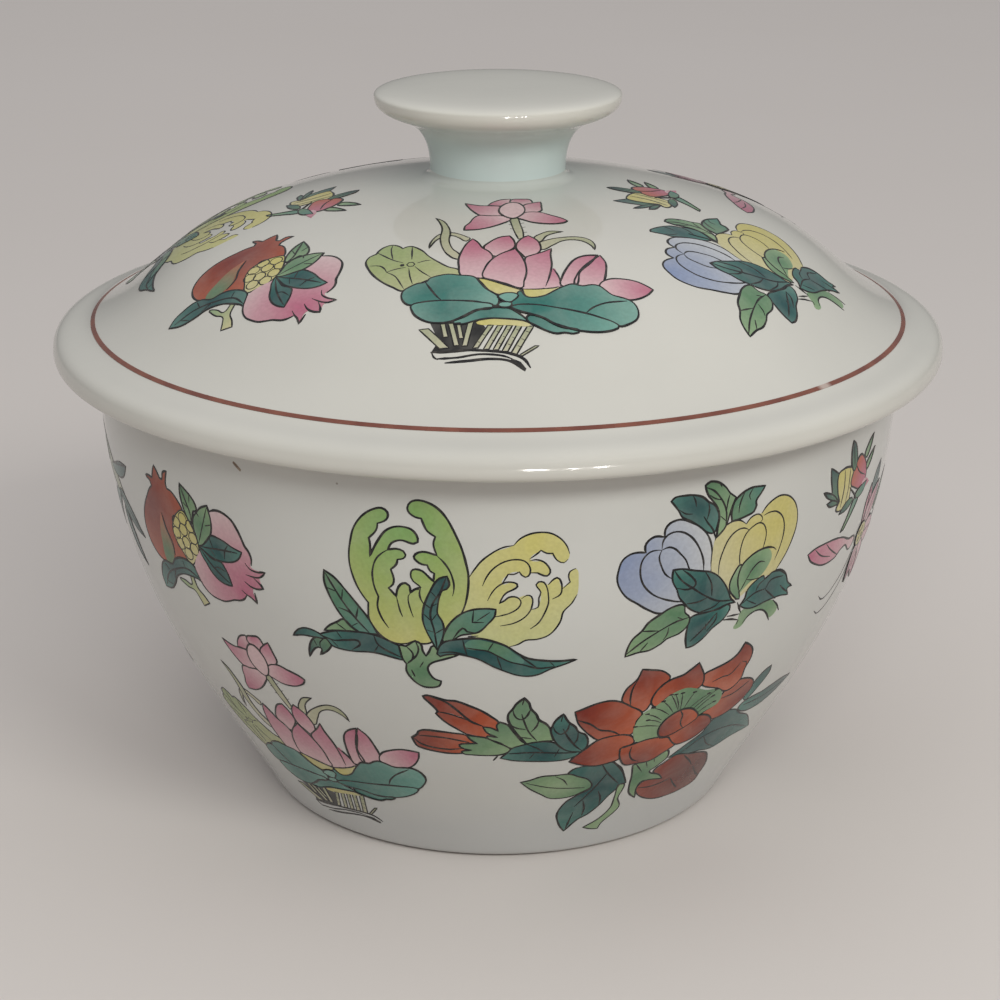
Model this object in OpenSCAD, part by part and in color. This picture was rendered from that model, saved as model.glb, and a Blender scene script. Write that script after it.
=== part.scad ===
// Lidded porcelain serving bowl: a deep turned bowl, a domed lid whose rolled rim stands
// out over the mouth, a mushroom knob luted to the lid, and one fired iron-red line.
// Millimetres, +Z up, origin at the centre of the plane that the foot stands on.

/* [Bowl] */
// Height of the bowl from the table to its lip
bowl_h = 98.6; // [84:0.2:116]
// Outer radius of the bowl at its lip
mouth_r = 86; // [78:0.5:94]
// Thickness of the bowl's wall
bowl_wall = 4.5; // [3:0.1:6]
// Thickness of the bowl's floor
floor_t = 4.5; // [3:0.1:7]
// Rounding of the lip's outer and inner edge
lip_round = 1; // [0.4:0.1:1.4]

/* [Foot] */
// Radius at which the wall turns under
turn_r = 52.6; // [47:0.2:57]
// Height of that turn over the table
turn_h = 1.7; // [1:0.1:3]
// Distance from the turn in to the ring that the bowl stands on
turn_in = 3.1; // [2:0.1:5]
// Width of the standing ring
stand_w = 4.5; // [3:0.1:7]
// Depth of the hollow under the floor
recess_h = 4; // [2:0.1:6]
// How far the standing ring's inner face leans in
recess_lean = 1; // [0.4:0.1:2]

/* [Lid] */
// Thickness of the dome
lid_wall = 4.5; // [3:0.1:6]
// Rise of the dome from the red line to the foot of the knob's boss
dome_rise = 28.4; // [22:0.2:34]
// Height of the boss that carries the knob
boss_h = 1.8; // [1:0.1:3]
// Width of the hollow curve round the boss
boss_blend = 2.6; // [1.5:0.1:4]

/* [Lid rim] */
// How far the rolled rim stands out past the bowl's lip
rim_overhang = 9.2; // [7:0.1:12]
// Height of the rim's widest point over the lip
rim_edge_h = 2.4; // [1.6:0.1:3.4]
// Width of the rounding under the rim
rim_under = 4; // [2.5:0.1:5]
// Distance of the red line in from the rim's widest point
line_in = 8.6; // [6.5:0.1:10]
// Height of the red line over the lip
line_h = 7.8; // [6.5:0.1:9.5]

/* [Locating ring] */
// Gap between the bowl's mouth and the ring under the lid
locator_gap = 1; // [0.5:0.1:2]
// Thickness of that ring
locator_t = 4; // [3:0.1:5]
// Depth of that ring below the lip
locator_h = 8; // [5:0.1:12]
// Rounding of its two lower edges
locator_round = 1.2; // [0.5:0.1:1.4]
// Width of the hollow curve between the ring and the dome
root_w = 4; // [2:0.1:6]
// Height of that curve
root_h = 6; // [4:0.1:8]

/* [Knob] */
// Radius of the neck
neck_r = 14.4; // [11:0.1:17]
// Radius of the disc
disc_r = 26.1; // [22:0.1:30]
// Height of the disc's widest point over the boss
disc_edge_h = 15.6; // [12:0.1:20]
// Height of the crown over the disc's widest point
crown_h = 1.7; // [1:0.1:4]

/* [Red line] */
// Width of the fired line
line_w = 1; // [0.6:0.1:2]
// Thickness of the enamel, which stands on the glaze
line_t = 0.1; // [0.05:0.01:0.2]

/* [Hidden] */
$fn = 144;
glaze_white = [0.92, 0.93, 0.91];
glaze_pooled = [0.82, 0.89, 0.88];
iron_red = [0.45, 0.17, 0.10];

// Steps along a long curve and along a short one
long_steps = 28;
short_steps = 8;

// Pulls of the curves, as shares of the lengths that they follow
wall_top_pull_share = 0.5;
wall_foot_pull_shares = [0.39, 0.255];
inner_wall_end_share = 0.84;
corner_drop_share = 0.7;
corner_reach_share = 0.62;
turn_pull_share = 0.5;
dome_top_pull_shares = [0.78, 0.235];
dome_low_pull_shares = [0.27, 0.365];
rim_top_pull_share = 0.45;
rim_side_pull_share = 0.87;
rim_under_pull_share = 0.9;
neck_pull_share = 0.92;
disc_under_pull_share = 0.41;
disc_over_pull_share = 0.85;
crown_pull_share = 0.85;
round_pull_share = 0.55;

// Places that more than one curve or piece takes
inner_mouth_r = mouth_r - bowl_wall;
floor_z = recess_h + floor_t;
rim_r = mouth_r + rim_overhang;
line_mid = [rim_r - line_in, bowl_h + line_h];
boss_foot = [neck_r + boss_blend, line_mid.y + dome_rise];
knob_seat_z = boss_foot.y + boss_h;
locator_outer_r = inner_mouth_r - locator_gap;
locator_inner_r = locator_outer_r - locator_t;
locator_z = bowl_h - locator_h;
dome_span = line_mid.x - boss_foot.x;

// The dome's way down to the red line, and the line's two edges on the glaze
line_down = unit([dome_low_pull_shares.x * dome_span, -dome_low_pull_shares.y * dome_rise]);
line_inner = line_mid - line_down * line_w / 2;
line_outer = line_mid + line_down * line_w / 2;

// Four points hold each long curve: its two ends, and the pull at each end
wall_hold = [
    [mouth_r, bowl_h - lip_round],
    [mouth_r, bowl_h - lip_round - wall_top_pull_share * (bowl_h - turn_h)],
    [turn_r + wall_foot_pull_shares.x * (mouth_r - turn_r),
        turn_h + wall_foot_pull_shares.y * (bowl_h - turn_h)],
    [turn_r, turn_h]
];
dome_hold = [
    boss_foot,
    boss_foot + [dome_top_pull_shares.x * dome_span, -dome_top_pull_shares.y * dome_rise],
    line_inner + [-dome_low_pull_shares.x * dome_span, dome_low_pull_shares.y * dome_rise],
    line_inner
];

function unit(v) = v / norm(v);

// A point of a held curve, t running from 0 to 1, and the curve's direction there
function on_curve(hold, t) = pow(1 - t, 3) * hold[0] + 3 * pow(1 - t, 2) * t * hold[1]
    + 3 * (1 - t) * t * t * hold[2] + t * t * t * hold[3];
function heading(hold, t) = unit(pow(1 - t, 2) * (hold[1] - hold[0])
    + 2 * (1 - t) * t * (hold[2] - hold[1]) + t * t * (hold[3] - hold[2]));

// A held curve as points, and the same curve moved to its right by a wall's thickness
function curve(hold, steps) = [for (i = [0:steps]) on_curve(hold, i / steps)];
function inner_curve(hold, wall, end_share) = [for (i = [0:long_steps])
    let (t = end_share * i / long_steps, along = heading(hold, t))
    on_curve(hold, t) + wall * [along.y, -along.x]];

// A rounded corner from a to b, where knee is the sharp one
function corner(a, knee, b) = curve([a, a + round_pull_share * (knee - a),
    b + round_pull_share * (knee - b), b], short_steps);

// Bowl, from the lip down the outside, under the foot and up the inside
module bowl() {
    stand_outer_r = turn_r - turn_in;
    stand_inner_r = stand_outer_r - stand_w;
    foot_turn = [
        wall_hold[3],
        wall_hold[3] + turn_pull_share * turn_h * heading(wall_hold, 1),
        [stand_outer_r + turn_pull_share * turn_in, 0],
        [stand_outer_r, 0]
    ];
    inner_wall = inner_curve(wall_hold, bowl_wall, inner_wall_end_share);
    wall_end = inner_wall[long_steps];
    wall_end_heading = heading(wall_hold, inner_wall_end_share);
    drop = corner_drop_share * (wall_end.y - floor_z) / abs(wall_end_heading.y);
    floor_hold = [
        [0, floor_z],
        [corner_reach_share * wall_end.x, floor_z],
        wall_end + drop * wall_end_heading,
        wall_end
    ];
    color(glaze_white)
        rotate_extrude()
            polygon(concat(
                corner([mouth_r - lip_round, bowl_h], [mouth_r, bowl_h], wall_hold[0]),
                [for (i = [1:long_steps]) on_curve(wall_hold, i / long_steps)],
                [for (i = [1:short_steps]) on_curve(foot_turn, i / short_steps)],
                [[stand_inner_r, 0], [stand_inner_r - recess_lean, recess_h], [0, recess_h]],
                curve(floor_hold, long_steps),
                [for (i = [long_steps - 1:-1:1]) inner_wall[i]],
                corner([inner_mouth_r, bowl_h - lip_round], [inner_mouth_r, bowl_h],
                    [inner_mouth_r + lip_round, bowl_h])
            ));
}

// Lid, from the knob's seat over the dome and the rim, round the locating ring and back inside
module lid() {
    rim_top = [
        line_outer,
        line_outer + rim_top_pull_share * line_in * line_down,
        [rim_r, bowl_h + rim_edge_h + rim_side_pull_share * (line_h - rim_edge_h)],
        [rim_r, bowl_h + rim_edge_h]
    ];
    rim_bottom = [
        [rim_r, bowl_h + rim_edge_h],
        [rim_r, bowl_h + (1 - rim_under_pull_share) * rim_edge_h],
        [rim_r - (1 - round_pull_share) * rim_under, bowl_h],
        [rim_r - rim_under, bowl_h]
    ];
    under_dome = [for (p = inner_curve(dome_hold, lid_wall, 1))
        if (p.x < locator_inner_r - root_w) p];
    root_top = under_dome[len(under_dome) - 1];
    root_foot = [locator_inner_r, root_top.y - root_h];
    color(glaze_white)
        rotate_extrude()
            polygon(concat(
                [[0, knob_seat_z]],
                corner([neck_r, knob_seat_z], [neck_r, boss_foot.y], boss_foot),
                [for (i = [1:long_steps]) on_curve(dome_hold, i / long_steps)],
                curve(rim_top, short_steps),
                [for (i = [1:short_steps]) on_curve(rim_bottom, i / short_steps)],
                [[locator_outer_r, bowl_h]],
                corner([locator_outer_r, locator_z + locator_round],
                    [locator_outer_r, locator_z], [locator_outer_r - locator_round, locator_z]),
                corner([locator_inner_r + locator_round, locator_z],
                    [locator_inner_r, locator_z], [locator_inner_r, locator_z + locator_round]),
                curve([root_foot, [root_foot.x, (root_foot.y + root_top.y) / 2],
                    (root_foot + 3 * root_top) / 4, root_top], short_steps),
                [for (i = [len(under_dome) - 2:-1:0]) under_dome[i]],
                [[0, boss_foot.y - lid_wall]]
            ));
}

// Knob, from its flat base up the neck, round the disc's edge and over the crown
module knob() {
    disc_z = knob_seat_z + disc_edge_h;
    crown_z = disc_z + crown_h;
    neck_hold = [
        [neck_r, knob_seat_z],
        [neck_r, knob_seat_z + neck_pull_share * disc_edge_h],
        [disc_r, disc_z - disc_under_pull_share * disc_edge_h],
        [disc_r, disc_z]
    ];
    crown_hold = [
        [disc_r, disc_z],
        [disc_r, disc_z + disc_over_pull_share * crown_h],
        [crown_pull_share * disc_r, crown_z],
        [0, crown_z]
    ];
    color(glaze_pooled)
        rotate_extrude()
            polygon(concat(
                [[0, knob_seat_z]],
                curve(neck_hold, long_steps),
                [for (i = [1:long_steps]) on_curve(crown_hold, i / long_steps)]
            ));
}

// Red line, a thin band of enamel standing on the glaze where the dome meets the rim
module lid_line() {
    line_lift = line_t * [-line_down.y, line_down.x];
    color(iron_red)
        rotate_extrude()
            polygon([line_inner, line_outer, line_outer + line_lift, line_inner + line_lift]);
}

bowl();
lid();
knob();
lid_line();
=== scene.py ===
# Lidded porcelain bowl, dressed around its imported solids. Metres, +Z up, -Y towards the viewer.
import math

import bpy
import numpy as np
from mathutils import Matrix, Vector, noise
from mathutils.geometry import delaunay_2d_cdt


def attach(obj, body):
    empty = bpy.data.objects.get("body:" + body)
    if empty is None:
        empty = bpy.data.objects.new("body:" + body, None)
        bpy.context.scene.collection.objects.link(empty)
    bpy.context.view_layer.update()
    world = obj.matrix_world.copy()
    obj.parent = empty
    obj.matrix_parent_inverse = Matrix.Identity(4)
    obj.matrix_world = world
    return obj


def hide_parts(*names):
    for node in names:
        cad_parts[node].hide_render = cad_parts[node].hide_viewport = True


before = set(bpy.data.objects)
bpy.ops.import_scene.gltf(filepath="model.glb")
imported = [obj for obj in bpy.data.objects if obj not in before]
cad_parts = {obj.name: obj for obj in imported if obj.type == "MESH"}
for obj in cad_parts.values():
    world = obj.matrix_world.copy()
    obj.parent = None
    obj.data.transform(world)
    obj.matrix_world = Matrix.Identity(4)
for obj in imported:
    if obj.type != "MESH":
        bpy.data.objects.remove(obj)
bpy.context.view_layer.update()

mm = 0.001


# Camera.
# It stands half a metre off and looks about twenty degrees down, as the photograph does.
# Its focal length and its place come from the ellipses of the red line and of the lid's rim.
camera_back = 0.502
camera_up = 0.2437
camera_looks_down = 19.95

camera_data = bpy.data.cameras.new("camera")
camera_data.sensor_width = 36
camera_data.lens = 86.3
camera_data.shift_x = 0.002
camera_data.clip_start = 0.01
camera = bpy.data.objects.new("camera", camera_data)
camera.location = (0, -camera_back, camera_up)
camera.rotation_euler = (math.radians(90 - camera_looks_down), 0, 0)
bpy.context.scene.collection.objects.link(camera)
bpy.context.scene.camera = camera


# Floor.
# One wide sheet of pale card under the bowl, which fills the picture up to its top edge.
# It is only the stage, and no piece of the bowl.
floor_half = 7
warm_card = (0.635, 0.59, 0.555, 1)
pale_card = (0.66, 0.622, 0.593, 1)

bpy.ops.object.select_all(action="DESELECT")
bpy.ops.mesh.primitive_grid_add(x_subdivisions=8, y_subdivisions=8, size=2 * floor_half, location=(0, 0, 0))
floor = bpy.context.object
floor.name = "floor"

floor_material = bpy.data.materials.new("pale_card")
floor_material.use_nodes = True
nodes = floor_material.node_tree.nodes
links = floor_material.node_tree.links
shader = nodes["Principled BSDF"]
shader.inputs["Roughness"].default_value = 0.9
shader.inputs["Specular IOR Level"].default_value = 0.15
place = nodes.new("ShaderNodeTexCoord")
fibre = nodes.new("ShaderNodeTexNoise")
fibre.inputs["Scale"].default_value = 3.0
fibre.inputs["Detail"].default_value = 3.0
tone = nodes.new("ShaderNodeMix")
tone.data_type = "RGBA"
tone.inputs["A"].default_value = warm_card
tone.inputs["B"].default_value = pale_card
links.new(place.outputs["Object"], fibre.inputs["Vector"])
links.new(fibre.outputs["Fac"], tone.inputs["Factor"])
links.new(tone.outputs["Result"], shader.inputs["Base Color"])
floor.data.materials.append(floor_material)


# Light.
# Two wide lamps light the piece from the front and the right, and one lights the floor behind; the
# glaze mirrors none of them. Three small ones show only in its reflections, as the bright dashes on
# the rim and the knob. The sky round them is brighter overhead.
warm_white = (0.99, 0.985, 0.95)
floor_white = (1.0, 0.985, 0.97)
dash_white = (1.0, 0.98, 0.94)


def add_lamp(name, at, towards, width, height, watts, colour, mirrored=False):
    data = bpy.data.lights.new(name, "AREA")
    data.shape = "RECTANGLE"
    data.size = width
    data.size_y = height
    data.energy = watts
    data.color = colour
    lamp = bpy.data.objects.new(name, data)
    lamp.location = at
    aim = Vector(towards) - Vector(at)
    lamp.rotation_euler = aim.to_track_quat("-Z", "Y").to_euler()
    lamp.visible_glossy = mirrored
    lamp.visible_diffuse = not mirrored
    bpy.context.scene.collection.objects.link(lamp)


add_lamp("front_lamp", (0.05, -1.03, 0.8), (0, 0, 0.06), 0.5, 0.25, 3.95, warm_white)
add_lamp("right_lamp", (0.62, -0.88, 0.82), (0, 0, 0.06), 0.5, 0.25, 5.4, warm_white)
add_lamp("far_lamp", (0, 0.95, 1.2), (0, 1.0, 0), 0.8, 0.8, 0.7, floor_white)
for number, across, width, height, watts in (
        (1, 0.084, 0.044, 0.06, 0.34), (2, 0.172, 0.012, 0.05, 0.1), (3, 0.25, 0.032, 0.04, 0.26)):
    add_lamp(f"dash_lamp_{number}", (across, -0.595, 0.045), (0, 0, 0.1), width, height, watts,
             dash_white, True)

world = bpy.data.worlds.new("studio")
world.use_nodes = True
nodes = world.node_tree.nodes
links = world.node_tree.links
sky = nodes["Background"]
sky.inputs["Color"].default_value = (0.98, 0.98, 1.0, 1)
upward = nodes.new("ShaderNodeSeparateXYZ")
brighter = nodes.new("ShaderNodeMapRange")
brighter.inputs["To Min"].default_value = 0.14
brighter.inputs["To Max"].default_value = 0.8
links.new(nodes.new("ShaderNodeTexCoord").outputs["Generated"], upward.inputs[0])
links.new(upward.outputs["Z"], brighter.inputs["Value"])
links.new(brighter.outputs["Result"], sky.inputs["Strength"])
bpy.context.scene.world = world
bpy.context.scene.view_settings.view_transform = "Standard"


# Bowl.
# Wheel-turned porcelain with a clear glaze: one curved wall that rolls in to a low standing ring.
# The ring's face is ground free of glaze, so it is the only dull place on the bowl.
bowl_height = 98.6 * mm
mouth_radius = 86 * mm
bowl_wall = 4.5 * mm
floor_thickness = 4.5 * mm
lip_rounding = 1 * mm
turn_radius = 52.6 * mm
turn_height = 1.7 * mm
turn_inset = 3.1 * mm
standing_ring_width = 4.5 * mm
recess_depth = 4 * mm
recess_lean = 1 * mm

# How far each curve is pulled along its way, as shares of the lengths that it follows
wall_top_pull = 0.5
wall_foot_pull = (0.39, 0.255)
turn_pull = 0.5
inner_wall_end = 0.84
corner_drop = 0.7
corner_reach = 0.62
round_pull = 0.55

bowl_foot_span = mouth_radius - turn_radius
bowl_wall_height = bowl_height - turn_height
standing_outer = turn_radius - turn_inset
standing_inner = standing_outer - standing_ring_width
floor_height = recess_depth + floor_thickness
least_step = 0.001 * mm
seam_gap = 0.002 * mm

# Steps along each curve and round the wheel
wall_steps = 52
inside_steps = 48
floor_steps = 28
short_steps = 10
wheel_steps = 256


def on_curve(hold, share):
    """The point at a share of the way along a curve held by its two ends and a pull at each end."""
    rest = 1 - share
    return (rest ** 3 * hold[0] + 3 * rest ** 2 * share * hold[1]
            + 3 * rest * share ** 2 * hold[2] + share ** 3 * hold[3])


def heading(hold, share):
    """The unit direction of a held curve at a share of its way."""
    rest = 1 - share
    along = (rest ** 2 * (hold[1] - hold[0]) + 2 * rest * share * (hold[2] - hold[1])
             + share ** 2 * (hold[3] - hold[2]))
    return along / np.linalg.norm(along)


def held_curve(hold, steps):
    return [on_curve(hold, step / steps) for step in range(steps + 1)]


def inner_curve(hold, wall, end_share, steps):
    """The same curve moved to its right by the wall's thickness."""
    points = []
    for step in range(steps + 1):
        share = end_share * step / steps
        along = heading(hold, share)
        points.append(on_curve(hold, share) + wall * np.array((along[1], -along[0])))
    return points


def rounded_corner(start, knee, end):
    start, knee, end = np.array(start), np.array(knee), np.array(end)
    return held_curve([start, start + round_pull * (knee - start), end + round_pull * (knee - end), end],
                      short_steps)


def turn_on_wheel(name, profile, steps=wheel_steps):
    """Spins a profile of (radius, height) points round the axis, closes its seam and smooths it."""
    bpy.ops.object.select_all(action="DESELECT")
    mesh = bpy.data.meshes.new(name)
    points = [profile[0]]
    for point in profile[1:]:
        if np.linalg.norm(point - points[-1]) > least_step:
            points.append(point)
    corners = [(point[0], 0, point[1]) for point in points]
    mesh.from_pydata(corners, [(i, i + 1) for i in range(len(corners) - 1)], [])
    piece = bpy.data.objects.new(name, mesh)
    bpy.context.scene.collection.objects.link(piece)
    bpy.context.view_layer.objects.active = piece
    piece.select_set(True)
    bpy.ops.object.mode_set(mode="EDIT")
    bpy.ops.mesh.select_all(action="SELECT")
    bpy.ops.mesh.spin(steps=steps, angle=math.tau, center=(0, 0, 0), axis=(0, 0, 1))
    bpy.ops.mesh.select_all(action="SELECT")
    bpy.ops.mesh.remove_doubles(threshold=seam_gap)
    bpy.ops.mesh.normals_make_consistent(inside=False)
    bpy.ops.object.mode_set(mode="OBJECT")
    bpy.ops.object.shade_smooth_by_angle(angle=math.radians(32))
    return piece


wall_hold = [
    np.array((mouth_radius, bowl_height - lip_rounding)),
    np.array((mouth_radius, bowl_height - lip_rounding - wall_top_pull * bowl_wall_height)),
    np.array((turn_radius + wall_foot_pull[0] * bowl_foot_span,
              turn_height + wall_foot_pull[1] * bowl_wall_height)),
    np.array((turn_radius, turn_height)),
]
turn_hold = [
    wall_hold[3],
    wall_hold[3] + turn_pull * turn_height * heading(wall_hold, 1),
    np.array((standing_outer + turn_pull * turn_inset, 0)),
    np.array((standing_outer, 0)),
]
bowl_inside = inner_curve(wall_hold, bowl_wall, inner_wall_end, inside_steps)
inside_foot = bowl_inside[-1]
foot_heading = heading(wall_hold, inner_wall_end)
foot_drop = corner_drop * (inside_foot[1] - floor_height) / abs(foot_heading[1])
floor_hold = [
    np.array((0, floor_height)),
    np.array((corner_reach * inside_foot[0], floor_height)),
    inside_foot + foot_drop * foot_heading,
    inside_foot,
]
inner_mouth = mouth_radius - bowl_wall
bowl_profile = (
    rounded_corner((mouth_radius - lip_rounding, bowl_height), (mouth_radius, bowl_height), wall_hold[0])
    + held_curve(wall_hold, wall_steps)
    + held_curve(turn_hold, short_steps)
    + [np.array((standing_inner, 0)), np.array((standing_inner - recess_lean, recess_depth))]
    + [np.array((share * (standing_inner - recess_lean), recess_depth)) for share in (0.75, 0.5, 0.25, 0)]
    + held_curve(floor_hold, floor_steps)
    + bowl_inside[::-1]
    + rounded_corner((inner_mouth, bowl_height - lip_rounding), (inner_mouth, bowl_height),
                     (inner_mouth + lip_rounding, bowl_height))
    + [np.array((mouth_radius - lip_rounding, bowl_height))]
)


def srgb(red, green, blue, alpha=1):
    """A colour as a screen shows it, 0 to 255, in the renderer's linear values."""
    return tuple(((value / 255 + 0.055) / 1.055) ** 2.4 for value in (red, green, blue)) + (alpha,)


def add_node(tree, kind, operation=None, **values):
    node = tree.nodes.new(kind)
    if operation:
        node.operation = operation
    for name, value in values.items():
        node.inputs[name.replace("_", " ")].default_value = value
    return node


def add_blend(tree, blend, factor, first, second):
    """Mixes two colours; each argument is a value or a socket."""
    node = tree.nodes.new("ShaderNodeMix")
    node.data_type = "RGBA"
    node.blend_type = blend
    sockets = (node.inputs[0], node.inputs[6], node.inputs[7])
    for socket, given in zip(sockets, (factor, first, second)):
        if isinstance(given, bpy.types.NodeSocket):
            tree.links.new(given, socket)
        else:
            socket.default_value = given
    return node.outputs[2]


def add_range(tree, value, low, high, to_low, to_high):
    node = add_node(tree, "ShaderNodeMapRange", From_Min=low, From_Max=high, To_Min=to_low, To_Max=to_high)
    tree.links.new(value, node.inputs["Value"])
    return node.outputs["Result"]


def add_group(name, inputs, outputs):
    group = bpy.data.node_groups.new(name, "ShaderNodeTree")
    for socket, kind in inputs:
        group.interface.new_socket(socket, in_out="INPUT", socket_type=kind)
    for socket, kind in outputs:
        group.interface.new_socket(socket, in_out="OUTPUT", socket_type=kind)
    return group, group.nodes.new("NodeGroupInput"), group.nodes.new("NodeGroupOutput")


# The glaze is clear and glossy over off-white porcelain: faintly cloudy, with fine orange-peel and
# a rare speck. It pools where it runs together, and is ground off where a piece stands or seats.
bowl_white, bowl_pooled = srgb(194, 194, 189), srgb(190, 191, 189)
speck_brown = srgb(92, 74, 60)
bare_body = srgb(188, 176, 160)

clear_glaze, given, result = add_group(
    "clear_glaze",
    (("Body", "NodeSocketColor"), ("Pooled", "NodeSocketColor"), ("Pool", "NodeSocketFloat"),
     ("Ground", "NodeSocketFloat")),
    (("Base Color", "NodeSocketColor"), ("Roughness", "NodeSocketFloat"), ("Height", "NodeSocketFloat")),
)
at = add_node(clear_glaze, "ShaderNodeTexCoord").outputs["Object"]
cloud = add_node(clear_glaze, "ShaderNodeTexNoise", Scale=22.0, Detail=4.0)
peel = add_node(clear_glaze, "ShaderNodeTexNoise", Scale=420.0, Detail=1.0)
throwing = add_node(clear_glaze, "ShaderNodeTexNoise", Scale=34.0, Detail=1.0)
specks = add_node(clear_glaze, "ShaderNodeTexVoronoi", Scale=70.0)
for texture in (cloud, peel, throwing, specks):
    clear_glaze.links.new(at, texture.inputs["Vector"])
cloudiness = add_range(clear_glaze, cloud.outputs["Fac"], 0.3, 0.7, 0.965, 1.035)
shaded = add_node(clear_glaze, "ShaderNodeVectorMath", "SCALE")
body = add_blend(clear_glaze, "MIX", given.outputs["Pool"], given.outputs["Body"], given.outputs["Pooled"])
clear_glaze.links.new(body, shaded.inputs[0])
clear_glaze.links.new(cloudiness, shaded.inputs["Scale"])
speck_size = add_range(clear_glaze, specks.outputs["Distance"], 0.012, 0.02, 1, 0)
speck_pick = add_node(clear_glaze, "ShaderNodeSeparateColor")
clear_glaze.links.new(specks.outputs["Color"], speck_pick.inputs[0])
speck_rare = add_range(clear_glaze, speck_pick.outputs[0], 0.86, 0.88, 0, 0.55)
speck = add_node(clear_glaze, "ShaderNodeMath", "MULTIPLY")
clear_glaze.links.new(speck_size, speck.inputs[0])
clear_glaze.links.new(speck_rare, speck.inputs[1])
specked = add_blend(clear_glaze, "MIX", speck.outputs[0], shaded.outputs[0], speck_brown)
bare = add_blend(clear_glaze, "MIX", given.outputs["Ground"], specked, bare_body)
clear_glaze.links.new(bare, result.inputs["Base Color"])
gloss = add_range(clear_glaze, cloud.outputs["Fac"], 0.3, 0.7, 0.07, 0.13)
dull = add_node(clear_glaze, "ShaderNodeMath", "MAXIMUM")
ground_rough = add_range(clear_glaze, given.outputs["Ground"], 0, 1, 0, 0.8)
clear_glaze.links.new(gloss, dull.inputs[0])
clear_glaze.links.new(ground_rough, dull.inputs[1])
clear_glaze.links.new(dull.outputs[0], result.inputs["Roughness"])
rise = add_node(clear_glaze, "ShaderNodeMath", "MULTIPLY_ADD")
rise.inputs[1].default_value = 6.0
clear_glaze.links.new(throwing.outputs["Fac"], rise.inputs[0])
clear_glaze.links.new(peel.outputs["Fac"], rise.inputs[2])
clear_glaze.links.new(rise.outputs[0], result.inputs["Height"])


def glaze_material(name, body, pooled, pool_span, ground_span):
    """Glazed porcelain; the two spans are heights where the glaze pools and where it is ground off."""
    material = bpy.data.materials.new(name)
    material.use_nodes = True
    tree = material.node_tree
    shader = tree.nodes["Principled BSDF"]
    shader.inputs["IOR"].default_value = 1.52
    glaze = tree.nodes.new("ShaderNodeGroup")
    glaze.node_tree = clear_glaze
    glaze.inputs["Body"].default_value = body
    glaze.inputs["Pooled"].default_value = pooled
    here = add_node(tree, "ShaderNodeSeparateXYZ")
    tree.links.new(add_node(tree, "ShaderNodeTexCoord").outputs["Object"], here.inputs[0])
    for socket, span in (("Pool", pool_span), ("Ground", ground_span)):
        enter = add_range(tree, here.outputs["Z"], span[0], span[1], 0, 1)
        leave = add_range(tree, here.outputs["Z"], span[2], span[3], 1, 0)
        both = add_node(tree, "ShaderNodeMath", "MULTIPLY")
        tree.links.new(enter, both.inputs[0])
        tree.links.new(leave, both.inputs[1])
        tree.links.new(both.outputs[0], glaze.inputs[socket])
    bump = add_node(tree, "ShaderNodeBump", Strength=0.35, Distance=0.02 * mm)
    tree.links.new(glaze.outputs["Height"], bump.inputs["Height"])
    tree.links.new(glaze.outputs["Base Color"], shader.inputs["Base Color"])
    tree.links.new(glaze.outputs["Roughness"], shader.inputs["Roughness"])
    tree.links.new(bump.outputs["Normal"], shader.inputs["Normal"])
    return material


bowl_glaze = glaze_material(
    "bowl_glaze", bowl_white, bowl_pooled,
    (-2 * mm, -1 * mm, 8 * mm, 20 * mm), (-2 * mm, -1 * mm, 0.15 * mm, 0.3 * mm))
bowl_shell = turn_on_wheel("bowl_shell", bowl_profile)
bowl_shell.data.materials.append(bowl_glaze)
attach(bowl_shell, "bowl")
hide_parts("bowl")


# Lid.
# Turned as one with its rolled rim, which stands out over the mouth, and with the locating ring
# under it, which drops inside the lip. Glazed all over but for the seat that meets the bowl.
rim_overhang = 9.2 * mm
rim_edge_height = 2.4 * mm
rim_under = 4 * mm
line_inset = 8.6 * mm
line_height = 7.8 * mm
dome_rise = 28.4 * mm
lid_wall = 4.5 * mm
boss_height = 1.8 * mm
boss_blend = 2.6 * mm
neck_radius = 14.4 * mm
locator_gap = 1 * mm
locator_thickness = 4 * mm
locator_depth = 8 * mm
locator_rounding = 1.2 * mm
root_width = 4 * mm
root_height = 6 * mm
line_width = 1 * mm
line_lift = 0.1 * mm
lid_white, lid_pooled = srgb(196, 194, 186), srgb(188, 193, 187)
far_above = 1

dome_top_pull = (0.78, 0.235)
dome_low_pull = (0.27, 0.365)
rim_top_pull = 0.45
rim_side_pull = 0.87
rim_under_pull = 0.9

dome_steps = 52
rim_top_steps = 20
rim_bottom_steps = 12
root_steps = 12

rim_radius = mouth_radius + rim_overhang
line_middle = np.array((rim_radius - line_inset, bowl_height + line_height))
boss_foot = np.array((neck_radius + boss_blend, line_middle[1] + dome_rise))
dome_span = line_middle[0] - boss_foot[0]
knob_seat = boss_foot[1] + boss_height
locator_outer = inner_mouth - locator_gap
locator_inner = locator_outer - locator_thickness
locator_low = bowl_height - locator_depth
line_down = np.array((dome_low_pull[0] * dome_span, -dome_low_pull[1] * dome_rise))
line_down /= np.linalg.norm(line_down)
line_out = np.array((-line_down[1], line_down[0]))
line_inner = line_middle - line_down * line_width / 2
line_outer = line_middle + line_down * line_width / 2

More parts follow.
